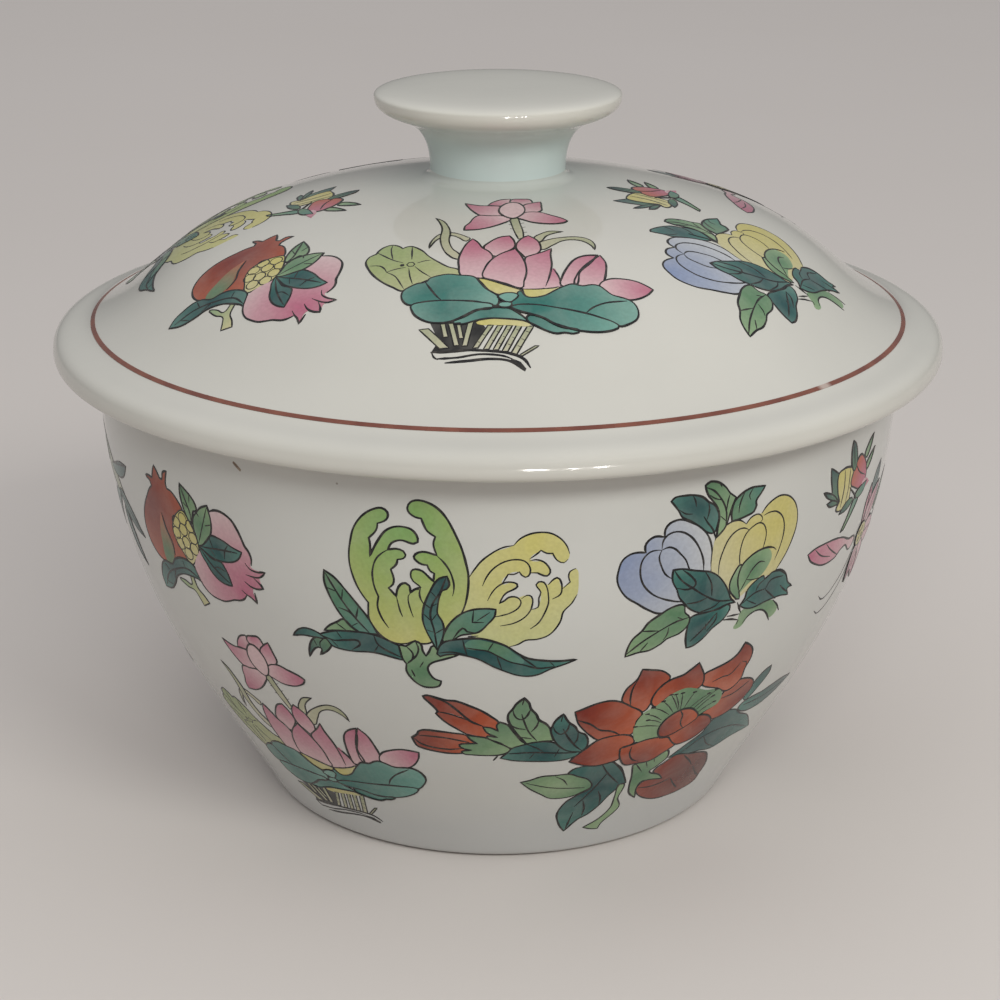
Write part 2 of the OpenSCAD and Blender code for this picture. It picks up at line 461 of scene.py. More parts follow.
dome_hold = [
    boss_foot,
    boss_foot + np.array((dome_top_pull[0] * dome_span, -dome_top_pull[1] * dome_rise)),
    line_inner + np.array((-dome_low_pull[0] * dome_span, dome_low_pull[1] * dome_rise)),
    line_inner,
]
rim_top = [
    line_outer,
    line_outer + rim_top_pull * line_inset * line_down,
    np.array((rim_radius, bowl_height + rim_edge_height + rim_side_pull * (line_height - rim_edge_height))),
    np.array((rim_radius, bowl_height + rim_edge_height)),
]
rim_bottom = [
    rim_top[3],
    np.array((rim_radius, bowl_height + (1 - rim_under_pull) * rim_edge_height)),
    np.array((rim_radius - (1 - round_pull) * rim_under, bowl_height)),
    np.array((rim_radius - rim_under, bowl_height)),
]
under_dome = [point for point in inner_curve(dome_hold, lid_wall, 1, inside_steps)
              if point[0] < locator_inner - root_width]
root_top = under_dome[-1]
root_foot = np.array((locator_inner, root_top[1] - root_height))
root_hold = [root_foot, np.array((root_foot[0], (root_foot[1] + root_top[1]) / 2)),
             (root_foot + 3 * root_top) / 4, root_top]
lid_profile = (
    [np.array((share * neck_radius, knob_seat)) for share in (0, 0.5)]
    + rounded_corner((neck_radius, knob_seat), (neck_radius, boss_foot[1]), boss_foot)
    + held_curve(dome_hold, dome_steps)
    + held_curve(rim_top, rim_top_steps)
    + held_curve(rim_bottom, rim_bottom_steps)
    + [np.array((locator_outer, bowl_height))]
    + rounded_corner((locator_outer, locator_low + locator_rounding), (locator_outer, locator_low),
                     (locator_outer - locator_rounding, locator_low))
    + rounded_corner((locator_inner + locator_rounding, locator_low), (locator_inner, locator_low),
                     (locator_inner, locator_low + locator_rounding))
    + held_curve(root_hold, root_steps)
    + under_dome[::-1]
    + [np.array((share * boss_foot[0], boss_foot[1] - lid_wall)) for share in (0.6, 0.3, 0)]
)
lid_glaze = glaze_material(
    "lid_glaze", lid_white, lid_pooled,
    (boss_foot[1] - 2 * mm, boss_foot[1] + 1 * mm, far_above, 2 * far_above),
    (bowl_height - 0.1 * mm, bowl_height - 0.05 * mm, bowl_height + 0.05 * mm, bowl_height + 0.1 * mm))
lid_shell = turn_on_wheel("lid_shell", lid_profile)
lid_shell.data.materials.append(lid_glaze)
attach(lid_shell, "lid")
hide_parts("lid")


# Knob.
# Thrown on its own, a waisted neck that opens into a broad disc, and luted to the lid with slip.
# The glaze runs down it and pools in the waist, where it is tinted pale blue-green. The waist's colour
# is also painted lighter than the rest of the knob, as painted light in the shade under the disc, and
# the knob's white is a little lighter than the lid's, as painted light on the knob.
disc_radius = 26.1 * mm
disc_edge_height = 15.6 * mm
crown_height = 1.7 * mm
# Painted light: both knob whites are lighter than the lid's porcelain, the pooled one most.
knob_white_lit, knob_pooled_lit = srgb(202, 200, 191), srgb(196, 209, 206)

neck_pull = 0.92
disc_under_pull = 0.41
disc_over_pull = 0.85
crown_pull = 0.85

neck_steps = 48
crown_steps = 40
knob_wheel_steps = 192

disc_level = knob_seat + disc_edge_height
crown_level = disc_level + crown_height
neck_hold = [
    np.array((neck_radius, knob_seat)),
    np.array((neck_radius, knob_seat + neck_pull * disc_edge_height)),
    np.array((disc_radius, disc_level - disc_under_pull * disc_edge_height)),
    np.array((disc_radius, disc_level)),
]
crown_hold = [
    np.array((disc_radius, disc_level)),
    np.array((disc_radius, disc_level + disc_over_pull * crown_height)),
    np.array((crown_pull * disc_radius, crown_level)),
    np.array((0, crown_level)),
]
knob_profile = (
    [np.array((share * neck_radius, knob_seat)) for share in (0, 0.5)]
    + held_curve(neck_hold, neck_steps)
    + held_curve(crown_hold, crown_steps)
)
knob_glaze = glaze_material(
    "knob_glaze", knob_white_lit, knob_pooled_lit,
    (0, 1 * mm, knob_seat + 7 * mm, knob_seat + 14 * mm), (0, 1 * mm, knob_seat - 1 * mm, knob_seat))
knob_shell = turn_on_wheel("knob_shell", knob_profile, knob_wheel_steps)
knob_shell.data.materials.append(knob_glaze)
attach(knob_shell, "lid")
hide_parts("knob")


# Red line.
# One band of iron-red enamel, brushed on the fired glaze where the dome meets the rim while the
# lid turned on a wheel. It is thin and a little uneven. In one short patch it is painted pale: partly
# where the brush lifted, partly a painted highlight on the line.
line_thin, line_full = srgb(124, 70, 52), srgb(106, 54, 40)
# The pale patch's colour: glaze showing where the brush lifted, mixed with a painted highlight.
glaze_and_highlight = srgb(190, 176, 166)
pale_patch_turn = math.radians(46.7)
pale_patch_middle, pale_patch_edge = 0.8 * mm, 2.2 * mm
line_profile = [line_inner, line_inner + line_lift * line_out, line_outer + line_lift * line_out,
                line_outer, line_inner]

iron_red = bpy.data.materials.new("iron_red")
iron_red.use_nodes = True
tree = iron_red.node_tree
shader = tree.nodes["Principled BSDF"]
at = add_node(tree, "ShaderNodeTexCoord").outputs["Object"]
uneven = add_node(tree, "ShaderNodeTexNoise", Scale=160.0, Detail=3.0)
tree.links.new(at, uneven.inputs["Vector"])
load = add_range(tree, uneven.outputs["Fac"], 0.35, 0.62, 0, 1)
brushed = add_blend(tree, "MIX", load, line_thin, line_full)
# Where the pale patch lies: a brush lift with a painted highlight on it.
pale_patch_centre = line_middle[0] * np.array((math.sin(pale_patch_turn), -math.cos(pale_patch_turn), 0))
pale_patch_distance = add_node(tree, "ShaderNodeVectorMath", "DISTANCE")
pale_patch_distance.inputs[1].default_value = (pale_patch_centre[0], pale_patch_centre[1], line_middle[1])
tree.links.new(at, pale_patch_distance.inputs[0])
gap_and_highlight = add_range(tree, pale_patch_distance.outputs["Value"], pale_patch_middle, pale_patch_edge, 0.75, 0)
tree.links.new(add_blend(tree, "MIX", gap_and_highlight, brushed, glaze_and_highlight), shader.inputs["Base Color"])
tree.links.new(add_range(tree, load, 0, 1, 0.32, 0.2), shader.inputs["Roughness"])

line_band = turn_on_wheel("line_band", line_profile)
line_band.data.materials.append(iron_red)
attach(line_band, "lid")
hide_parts("lid_line")


# Sprays, how they are made.
# Each is an overglaze print: a thin black outline fired on the glaze, then enamels washed inside it
# by brush. Points are millimetres on the flat print sheet, x to the right and y up.
corner = "a sharp corner"

# Steps along a path and across a fill, rises of the coats, and cells that count the coats, in millimetres
path_step = 0.6
fill_step = 1.4
fill_row = 0.87
fill_edge_gap = 0.5
coat_rise = 0.03
line_rise = 0.02
edge_sink = -0.01
sheet_half = 52
cell_step = 0.5
line_reach = 0.5


def smooth_path(points, closed):
    """A fine path through a few flat points; one with a third value stays a sharp corner."""
    flat = [np.array(point[:2], float) for point in points]
    sharp = [len(point) > 2 for point in points]
    count = len(flat)
    path = []
    for i in range(count if closed else count - 1):
        after = (i + 1) % count
        here, there = flat[i], flat[after]
        reach = np.linalg.norm(there - here)
        leave = arrive = there - here
        if not sharp[i] and (closed or i > 0):
            leave = there - flat[i - 1]
        if not sharp[after] and (closed or i + 2 < count):
            arrive = flat[(i + 2) % count] - here
        leave = leave / (np.linalg.norm(leave) + 1e-9) * reach
        arrive = arrive / (np.linalg.norm(arrive) + 1e-9) * reach
        steps = max(1, round(reach / path_step))
        for step in range(steps):
            u = step / steps
            path.append((2 * u ** 3 - 3 * u ** 2 + 1) * here + (u ** 3 - 2 * u ** 2 + u) * leave
                        + (3 * u ** 2 - 2 * u ** 3) * there + (u ** 3 - u ** 2) * arrive)
    if not closed:
        path.append(flat[-1])
    return np.array(path)


def is_inside(path, places):
    """Which flat places lie inside a closed path."""
    hit = np.zeros(len(places), bool)
    for start, end in zip(path, np.roll(path, -1, axis=0)):
        if start[1] == end[1]:
            continue
        level_with = (places[:, 1] < start[1]) != (places[:, 1] < end[1])
        cross = start[0] + (places[:, 1] - start[1]) * (end[0] - start[0]) / (end[1] - start[1])
        hit ^= level_with & (places[:, 0] < cross)
    return hit


class Spray:
    """One print sheet: patches of enamel and black lines, each laid over the ones before it."""

    def __init__(self):
        self.fill_points, self.fill_faces, self.fill_colours = [], [], []
        self.line_points, self.line_faces = [], []
        side = np.arange(-sheet_half, sheet_half, cell_step)
        across, up = np.meshgrid(side, side)
        self.cells = np.stack([across.ravel(), up.ravel()], axis=1)
        self.coats = np.zeros(len(self.cells), int)

    def wash(self, deep, pale, points, heart=None):
        """Enamel without an outline, deepest at its heart, or at its first point, and paler away."""
        path = smooth_path(points, True)
        turns = path[:, 0] * np.roll(path[:, 1], -1) - path[:, 1] * np.roll(path[:, 0], -1)
        if turns.sum() < 0:
            path = np.roll(path[::-1], 1, axis=0)
        low, high = path.min(0), path.max(0)
        near = np.where(((self.cells >= low) & (self.cells <= high)).all(1))[0]
        covered = near[is_inside(path, self.cells[near])]
        level = 1 + (self.coats[covered].max() if len(covered) else 0)
        self.coats[covered] = level
        grid = np.array([(x + (row % 2) * fill_step / 2, y)
                         for row, y in enumerate(np.arange(low[1], high[1], fill_step * fill_row))
                         for x in np.arange(low[0], high[0], fill_step)])
        gaps = np.linalg.norm(grid[:, None] - path[None], axis=2).min(1)
        grid = grid[is_inside(path, grid) & (gaps > fill_edge_gap)]
        sheet = [Vector(place) for place in path] + [Vector(place) for place in grid]
        found, _, faces, _, _, _ = delaunay_2d_cdt(sheet, [], [list(range(len(path)))], 1, 1e-5)
        found = np.array([tuple(place) for place in found])
        heart = np.array(heart or points[0][:2], float)
        reach = np.linalg.norm(path - heart, axis=1).max()
        distance = np.clip(np.linalg.norm(found - heart, axis=1) / reach, 0, 1)
        depth = (1 - distance ** 1.3)[:, None]
        colours = np.array(pale) + depth * (np.array(deep) - np.array(pale))
        first = len(self.fill_points)
        self.fill_points += [(x, y, coat_rise * level) for x, y in found]
        self.fill_colours += [tuple(colour) for colour in colours]
        self.fill_faces += [tuple(first + i for i in face) for face in faces]
        # The outer edge turns down into the glaze, so that the coat has a side
        sides = {}
        for face in faces:
            for a, b in zip(face, face[1:] + face[:1]):
                sides.setdefault((min(a, b), max(a, b)), []).append((a, b))
        foot = {}
        for uses in sides.values():
            if len(uses) > 1:
                continue
            a, b = uses[0]
            for end in (a, b):
                if end not in foot:
                    foot[end] = len(self.fill_points)
                    self.fill_points.append((found[end][0], found[end][1], edge_sink))
                    self.fill_colours.append(tuple(colours[end]))
            self.fill_faces.append((first + b, first + a, foot[a], foot[b]))

    def line(self, points, width=0.5, closed=False):
        """A black line that swells a little on its way and runs out at its open ends."""
        path = smooth_path(points, closed)
        before = np.roll(path, 1, axis=0) if closed else np.vstack([path[:1], path[:-1]])
        after = np.roll(path, -1, axis=0) if closed else np.vstack([path[1:], path[-1:]])
        along = after - before
        along /= np.linalg.norm(along, axis=1)[:, None] + 1e-9
        side = np.stack([-along[:, 1], along[:, 0]], axis=1)
        low, high = path.min(0) - line_reach, path.max(0) + line_reach
        around = np.where(((self.cells >= low) & (self.cells <= high)).all(1))[0]
        level = 0
        for place in path[::2]:
            close = np.abs(self.cells[around] - place).max(1) <= line_reach
            level = max(level, self.coats[around[close]].max(initial=0))
        first = len(self.line_points)
        for k, place in enumerate(path):
            swell = 1 + 0.35 * noise.noise(Vector((place[0] * 0.4, place[1] * 0.4, width)))
            if not closed:
                swell *= min(1, 0.35 + 0.65 * min(k, len(path) - 1 - k) / 3)
            crest = coat_rise * level + line_rise
            for share, lift in ((0.5, edge_sink), (0.36, crest), (-0.36, crest), (-0.5, edge_sink)):
                x, y = place + side[k] * width * swell * share
                self.line_points.append((x, y, lift))
        for k in range(len(path) if closed else len(path) - 1):
            here, there = first + 4 * k, first + 4 * ((k + 1) % len(path))
            for row in range(3):
                self.line_faces.append((here + row, here + row + 1, there + row + 1, there + row))
        if not closed:
            last = first + 4 * (len(path) - 1)
            self.line_faces += [(first + 3, first + 2, first + 1, first),
                                (last, last + 1, last + 2, last + 3)]

    def patch(self, deep, pale, points, width=0.5, heart=None):
        self.wash(deep, pale, points, heart)
        self.line(points, width, closed=True)

    def dot(self, x, y, radius, width=0.4):
        self.line([(x + radius * math.cos(turn), y + radius * math.sin(turn))
                   for turn in np.arange(0, math.tau, math.tau / 6)], width, closed=True)


def skin_of(hold):
    """A curved skin as its length from the low end, with the radius and the height at each length."""
    points = np.array(held_curve(hold, 400))[::-1]
    run = np.concatenate([[0], np.cumsum(np.linalg.norm(np.diff(points, axis=0), axis=1))])
    return run, points[:, 0], points[:, 1]


skins = {"bowl": skin_of(wall_hold), "lid": skin_of(dome_hold)}


def lay(points, body, azimuth, along, turn, size):
    """Bends the flat sheet onto the skin as a print bends, flat at its centre."""
    run, radius, height = skins[body]
    sheet = np.array(points) * mm
    swing = math.radians(turn)
    x = size * (sheet[:, 0] * math.cos(swing) - sheet[:, 1] * math.sin(swing))
    y = size * (sheet[:, 0] * math.sin(swing) + sheet[:, 1] * math.cos(swing))
    middle = along * mm
    slope = (np.interp(middle + mm, run, radius) - np.interp(middle - mm, run, radius)) / (2 * mm)
    out = math.copysign(1, slope)
    cone = np.interp(middle, run, radius) / abs(slope)
    reach = np.hypot(x, cone + out * y)
    way = middle + out * (reach - cone)
    here = np.interp(way, run, radius)
    angle = math.radians(azimuth) + np.arctan2(x, cone + out * y) * reach / here
    lean_r = np.interp(way, run, np.gradient(height, run))
    lean_z = -np.interp(way, run, np.gradient(radius, run))
    here = here + sheet[:, 2] * lean_r
    level = np.interp(way, run, height) + sheet[:, 2] * lean_z
    return np.stack([here * np.sin(angle), -here * np.cos(angle), level], axis=1)


def lay_spray(name, spray, body, azimuth, along, turn=0, size=1.0):
    """Lays one sheet on the bowl or the lid as two pieces, its enamels and its black lines."""
    for part, points, faces, material, slot in (
            ("fill", spray.fill_points, spray.fill_faces, colour_enamel, "colour_enamel"),
            ("lines", spray.line_points, spray.line_faces, black_enamel, "outline_enamel")):
        mesh = bpy.data.meshes.new(f"{name}_{part}")
        mesh.from_pydata(lay(points, body, azimuth, along, turn, size).tolist(), [], faces)
        mesh.validate()
        if part == "fill":
            attribute = mesh.color_attributes.new("enamel", "FLOAT_COLOR", "POINT")
            for item, colour in zip(attribute.data, spray.fill_colours):
                item.color = colour
        mesh.materials.append(material)
        piece = bpy.data.objects.new(f"{name}_{part}", mesh)
        bpy.context.scene.collection.objects.link(piece)
        bpy.ops.object.select_all(action="DESELECT")
        bpy.context.view_layer.objects.active = piece
        piece.select_set(True)
        bpy.ops.object.shade_smooth_by_angle(angle=math.radians(30))
        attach(piece, body)


# Enamels.
# The coloured ones are thin glass, uneven from the brush, so the colour kept on each sheet's points
# is thinned and thickened in patches. The black is a thin, slightly brown print.
worn_thin, grain_dark = srgb(198, 194, 184), srgb(120, 110, 105)
ink_black, ink_brown = srgb(26, 26, 27), srgb(62, 58, 54)

colour_enamel = bpy.data.materials.new("colour_enamel")
colour_enamel.use_nodes = True
tree = colour_enamel.node_tree
shader = tree.nodes["Principled BSDF"]
shader.inputs["IOR"].default_value = 1.5
shader.inputs["Specular IOR Level"].default_value = 0.3
at = add_node(tree, "ShaderNodeTexCoord").outputs["Object"]
washes = add_node(tree, "ShaderNodeTexNoise", Scale=150.0, Detail=4.0, Distortion=0.6)
grains = add_node(tree, "ShaderNodeTexNoise", Scale=1400.0, Detail=1.0)
tree.links.new(at, washes.inputs["Vector"])
tree.links.new(at, grains.inputs["Vector"])
kept = add_node(tree, "ShaderNodeVertexColor")
kept.layer_name = "enamel"
thin = add_range(tree, washes.outputs["Fac"], 0.35, 0.7, 0.0, 0.12)
thinned = add_blend(tree, "MIX", thin, kept.outputs["Color"], worn_thin)
grainy = add_range(tree, grains.outputs["Fac"], 0.3, 0.7, 0.0, 0.12)
grained = add_blend(tree, "MULTIPLY", grainy, thinned, grain_dark)
tree.links.new(grained, shader.inputs["Base Color"])
tree.links.new(add_range(tree, washes.outputs["Fac"], 0.3, 0.7, 0.12, 0.26), shader.inputs["Roughness"])
enamel_bump = add_node(tree, "ShaderNodeBump", Strength=0.3, Distance=0.03 * mm)
tree.links.new(washes.outputs["Fac"], enamel_bump.inputs["Height"])
tree.links.new(enamel_bump.outputs["Normal"], shader.inputs["Normal"])

black_enamel = bpy.data.materials.new("black_enamel")
black_enamel.use_nodes = True
tree = black_enamel.node_tree
shader = tree.nodes["Principled BSDF"]
at = add_node(tree, "ShaderNodeTexCoord").outputs["Object"]
inked = add_node(tree, "ShaderNodeTexNoise", Scale=500.0, Detail=2.0)
tree.links.new(at, inked.inputs["Vector"])
shader.inputs["Specular IOR Level"].default_value = 0.3
ink = add_range(tree, inked.outputs["Fac"], 0.45, 0.75, 0, 1)
tree.links.new(add_blend(tree, "MIX", ink, ink_black, ink_brown), shader.inputs["Base Color"])
tree.links.new(add_range(tree, inked.outputs["Fac"], 0.3, 0.7, 0.16, 0.3), shader.inputs["Roughness"])


# Lotus basket.
# The print for one spray of a lotus flower, its petals, leaves and seed leaf in a plaited basket.
# It is laid on the front of the lid, and turned and a little smaller low on the bowl.
pink_deep, pink_pale = srgb(176, 98, 122), srgb(208, 178, 180)
teal_deep, teal_pale = srgb(18, 68, 70), srgb(66, 118, 108)
broad_deep, broad_pale = srgb(40, 104, 96), srgb(112, 156, 144)
green_deep, green_pale = srgb(84, 122, 90), srgb(134, 160, 120)
yellow_deep, yellow_pale = srgb(192, 182, 104), srgb(196, 188, 140)
cane_deep, cane_pale = srgb(156, 160, 128), srgb(184, 180, 154)
seed_deep, seed_pale = srgb(138, 156, 96), srgb(176, 176, 132)
printed_black = srgb(26, 26, 27)


def draw_lotus():
    spray = Spray()

    # The tall flower behind, stalk first
    spray.patch(cane_deep, cane_pale, [
        (2.0, 28.5, corner), (2.9, 27.7), (3.3, 24.7), (3.7, 21.3), (3.7, 18.3, corner),
        (2.7, 17.7, corner), (2.0, 21.3), (1.5, 25.3), (1.3, 27.7)], 0.36)
    for x, y, way in (
            (1.8, 26, -1), (1.8, 24.2, -1), (2.0, 22.2, -1), (3.3, 25, 1), (3.5, 23, 1), (3.7, 20.6, 1)):
        spray.line([(x, y), (x + 0.8 * way, y + 0.3)], 0.3)
    for shape in (
            [(-2.8, 34.7, corner), (-1.8, 36.3), (0, 37.7), (1.8, 38, corner), (2, 36), (0.3, 34.2)],
            [(4, 38, corner), (2.3, 37.8), (1.8, 36.3), (4.3, 34.4), (6.3, 36, corner), (5.8, 37.8)],
            [(8, 36.5, corner), (6.3, 35.8), (4.3, 34.2), (4.4, 30.5), (7.6, 31.3), (8, 34)],
            [(-7.4, 36, corner), (-7, 34.3), (-6, 31.7), (-4.5, 29.3), (-2.3, 28.5), (-0.1, 28.6),
             (-0.4, 31.7), (-0.1, 33.7), (-2.3, 34.3), (-4.3, 34.5), (-6, 35.2)],
            [(-7.9, 22.2, corner), (-7.7, 24), (-6.7, 25.7), (-6, 27.7), (-4.8, 29.2), (-2.7, 28.9),
             (0, 28.7), (1.5, 27.1), (-0.3, 25), (-2.7, 23.3), (-5.3, 22.3)],
            [(12.9, 26.7, corner), (12, 27.8), (9.7, 29.3), (7.3, 30.7), (4.4, 30.3), (2.8, 28),
             (4, 26.8), (6, 25.5), (9.3, 25), (12, 25.7)]):
        spray.patch(pink_deep, pink_pale, shape)
    spray.patch(pink_pale, pink_pale, [
        (3.3, 35.5), (1.7, 35.7), (0, 34), (-0.7, 31.3), (0, 29), (1.9, 27.4), (3.7, 29), (4.5, 31.3),
        (4.3, 33.7)])

    # Grass blades round the petals
    for shape in (
            [(-15, 15, corner), (-14.7, 17.3), (-13.7, 19.7), (-12.5, 21), (-10.5, 21.3), (-8.7, 20.3),
             (-6.8, 18.4, corner), (-7.6, 17.2), (-9, 18.8), (-10.5, 20), (-12.5, 19.3), (-13.8, 17.8)],
            [(-13.5, 28.7, corner), (-12, 27), (-11.1, 24.3), (-10.7, 21.3), (-11, 18.3), (-10.9, 16.5),
             (-10.3, 14), (-9.1, 11.9), (-9.3, 10), (-11.3, 11.9), (-12.4, 15.25), (-12.7, 19),
             (-12.3, 22.7), (-12.4, 24.7), (-13, 27.3)],
            [(11.7, 21.5, corner), (9, 21.5), (7, 20), (5.8, 18.3), (6.6, 16.5), (8.3, 19.3), (10, 20.7)],
            [(17.6, 14.3, corner), (17.8, 16.3), (17, 18.3), (15.3, 19.3), (13.3, 19.3), (11, 18.7),
             (8.7, 17.7), (6.5, 15.8), (7, 13.4), (9.3, 15.3), (11.3, 17.3), (13.3, 18), (15.3, 17.7),
             (17, 16)]):
        spray.patch(cane_deep, cane_pale, shape, 0.4)

    # The seed leaf on the left
    spray.patch(seed_deep, seed_pale, [
        (-24, 17.1), (-25.1, 15.7), (-25.5, 14.75), (-26.75, 14), (-27.5, 12.3), (-27.2, 10.25),
        (-26.1, 7.3), (-24.25, 4.4), (-22.2, 2.3), (-20, 0.7), (-15, 3.4), (-9, 4), (-9.3, 6.1),
        (-11.3, 7.3), (-13.4, 9.6), (-15.1, 11.9), (-16.3, 14.2), (-18.2, 16.3), (-19.3, 16.4),
        (-20.2, 15.8, corner), (-20.9, 16.9), (-22.4, 17.75)])
    spray.dot(-18.6, 9.3, 0.8)
    spray.dot(-20.3, 9.3, 0.25, 0.7)
    for vein in (
            [(-18.3, 16.1), (-18.4, 11.1)], [(-22.2, 17.5), (-22.5, 15.7), (-22.1, 11.5)],
            [(-25.1, 15), (-22, 11.5), (-20.1, 10.2)],
            [(-26.7, 10.5), (-24.7, 10), (-23.7, 8.6), (-23.4, 7.5)],
            [(-23.4, 7.5), (-21.3, 8.2), (-19.6, 8.4)],
            [(-23.4, 7.5), (-21.7, 5.7), (-20.5, 2.7), (-20, 1.3)],
            [(-19, 8), (-18.8, 5.2), (-18.3, 2.5)], [(-17.8, 8.4), (-16.5, 6.3), (-14.7, 4.1)],
            [(-14.7, 10.2), (-15.7, 10.2), (-17.4, 9.6)]):
        spray.line(vein, 0.42)

    # Petals of the open lotus, from the back ones to the front ones
    for shape in (
            [(1, 19.1, corner), (-0.9, 18.6), (-3, 16.5), (-4.25, 14), (-2.2, 10.7), (0.3, 12.5),
             (1.8, 14.4), (1.7, 17.3)],
            [(4.7, 19.2, corner), (3.7, 18.4), (2.4, 16.1), (2.1, 13.8), (3, 11.6), (4.1, 10.1),
             (6.6, 12.5), (6.8, 15.7), (6, 17.75)],
            [(-6.3, 18, corner), (-7.4, 16.3), (-8.4, 13.6), (-9.2, 10.25), (-9.25, 7.3), (-8.8, 3.9),
             (-6.3, 3), (-4.6, 3), (-4.5, 5.25), (-3.6, 7.75), (-2.6, 10), (-3.2, 12.3), (-4.5, 14),
             (-5.3, 16.3)],
            [(9, 13.8, corner), (7, 12.1), (5.3, 11.1), (3.7, 9.8), (3.6, 4.8), (2.6, -0.6), (4.5, -0.9),
             (7, -0.5), (8, 3.2), (8.7, 7.3), (8.7, 11.5)],
            [(1.9, 13.4, corner), (-0.9, 11.5), (-3, 9), (-4.25, 6.1), (-4.7, 3.2), (-3, 2.1),
             (-0.5, 0.9), (2.6, -0.5), (3.1, 1.5), (3.7, 4.4), (3.6, 7.75), (2.9, 10.7)]):
        spray.patch(pink_deep, pink_pale, shape)
    spray.wash(pink_deep, pink_pale, [
        (8.9, 6.1), (9.7, 4), (10.1, 1.9), (10.1, -0.1), (7, -0.6), (8, 2.75)])
    spray.line([(8.9, 6.1), (9.7, 4), (10.1, 1.9), (10.1, -0.1)])
    spray.line([(8.8, 7.3), (8.3, 4), (7.2, 0)], 0.45)
    for shape in (
            [(18, 12.1, corner), (15.3, 11.5), (13.25, 9.8), (11.6, 6.5), (10.5, 3.2), (10.3, 0.5),
             (13.1, 0.9), (14.1, 5.25), (16.2, 8.6)],
            [(18.5, 12.1, corner), (16.8, 10), (14.9, 7.3), (13.5, 4.4), (13, 1), (15.3, 0.6),
             (17.8, 1.1), (18.7, 3.2), (19.3, 6.5), (19.4, 9.6)],
            [(28.25, 2.1, corner), (27, 3), (24.9, 4), (22, 4.2), (19.5, 3.6), (17.7, 1.5), (18.7, -0.1),
             (20.1, -1.2), (22.8, -2), (24.9, -1.4), (27, 0.25)]):
        spray.patch(pink_deep, pink_pale, shape)

    # Yellow cups under the petals
    spray.patch(yellow_deep, yellow_pale, [
        (-5.9, 3, corner), (-3.8, 2.3), (-0.9, 0.7), (1.6, -0.6), (2.7, -1.2, corner), (1.6, -2.25),
        (-0.5, -2.7), (-2.6, -2.2), (-3.9, -0.8), (-5, 1.3)], 0.42)
    spray.patch(yellow_deep, yellow_pale, [
        (2.8, -1, corner), (5.75, -0.9), (8.7, -0.4), (10.1, -0.1), (8.9, -1.6), (7, -2.8), (4.9, -3.5),
        (3.25, -2.9)], 0.42)

    # Basket of plaited cane below, black between its canes
    spray.wash(printed_black, printed_black, [
        (-15, -9, corner), (-6, -9, corner), (-4.6, -11, corner), (-6.6, -16.2, corner),
        (-15, -16.2, corner), (-13.8, -13.6)])
    for x, y, low_x, low_y, half in (
            (-16.2, -10.4, -12.4, -15.4, 0.9), (-12.6, -9.6, -12.1, -12.8, 0.45),
            (-11.1, -9.6, -10.1, -15, 0.5), (-9.7, -9.6, -9.2, -13.4, 0.4),
            (-7.3, -9.6, -8.6, -15.2, 0.5), (-3.6, -10.6, -6.6, -15.8, 0.5),
            (-1.8, -10.7, -4.6, -16.2, 0.5), (0, -10.7, -2.8, -16.4, 0.5),
            (1.8, -10.7, -1.1, -16.8, 0.55), (3.9, -10.9, 0.5, -17.5, 0.6), (5, -15.5, 1.8, -17.8, 0.4)):
        spray.patch(cane_deep, cane_pale, [
            (x - half, y, corner), (low_x - half, low_y, corner), (low_x + half, low_y, corner),
            (x + half, y, corner)], 0.34)
    for x, y in (
            (-1.6, -12.4), (-2.6, -14.4), (0.4, -12), (-0.5, -13.6), (-1.3, -15.2), (2.1, -12),
            (1.2, -13.8), (0.4, -15.4), (3.9, -12.4), (3, -14.2), (2.2, -15.8), (-4.4, -13),
            (-5.4, -14.6)):
        spray.line([(x - 0.9, y + 0.3), (x - 0.3, y)], 0.4)
    spray.line([
        (-15, -16), (-12.2, -16.2), (-8, -16.2), (-3.8, -16.6), (-0.1, -17.25), (2.4, -18.5),
        (3.6, -20.5)], 0.7)
    spray.line([(-14.8, -16), (-14.4, -17.2), (-13.6, -17.8)], 0.6)
    spray.line([(-14.25, -17.6), (-10, -17.7), (-5.9, -17.25), (-1.75, -17.7), (0.3, -18.5)], 0.6)
    spray.line([(-12.4, -18.7), (-8, -18.6), (-3.8, -18.4), (-0.1, -19), (2.6, -21.2)], 0.7)
    spray.line([(0, -18.6), (1.4, -19.6), (2.7, -20.9)], 1.3)

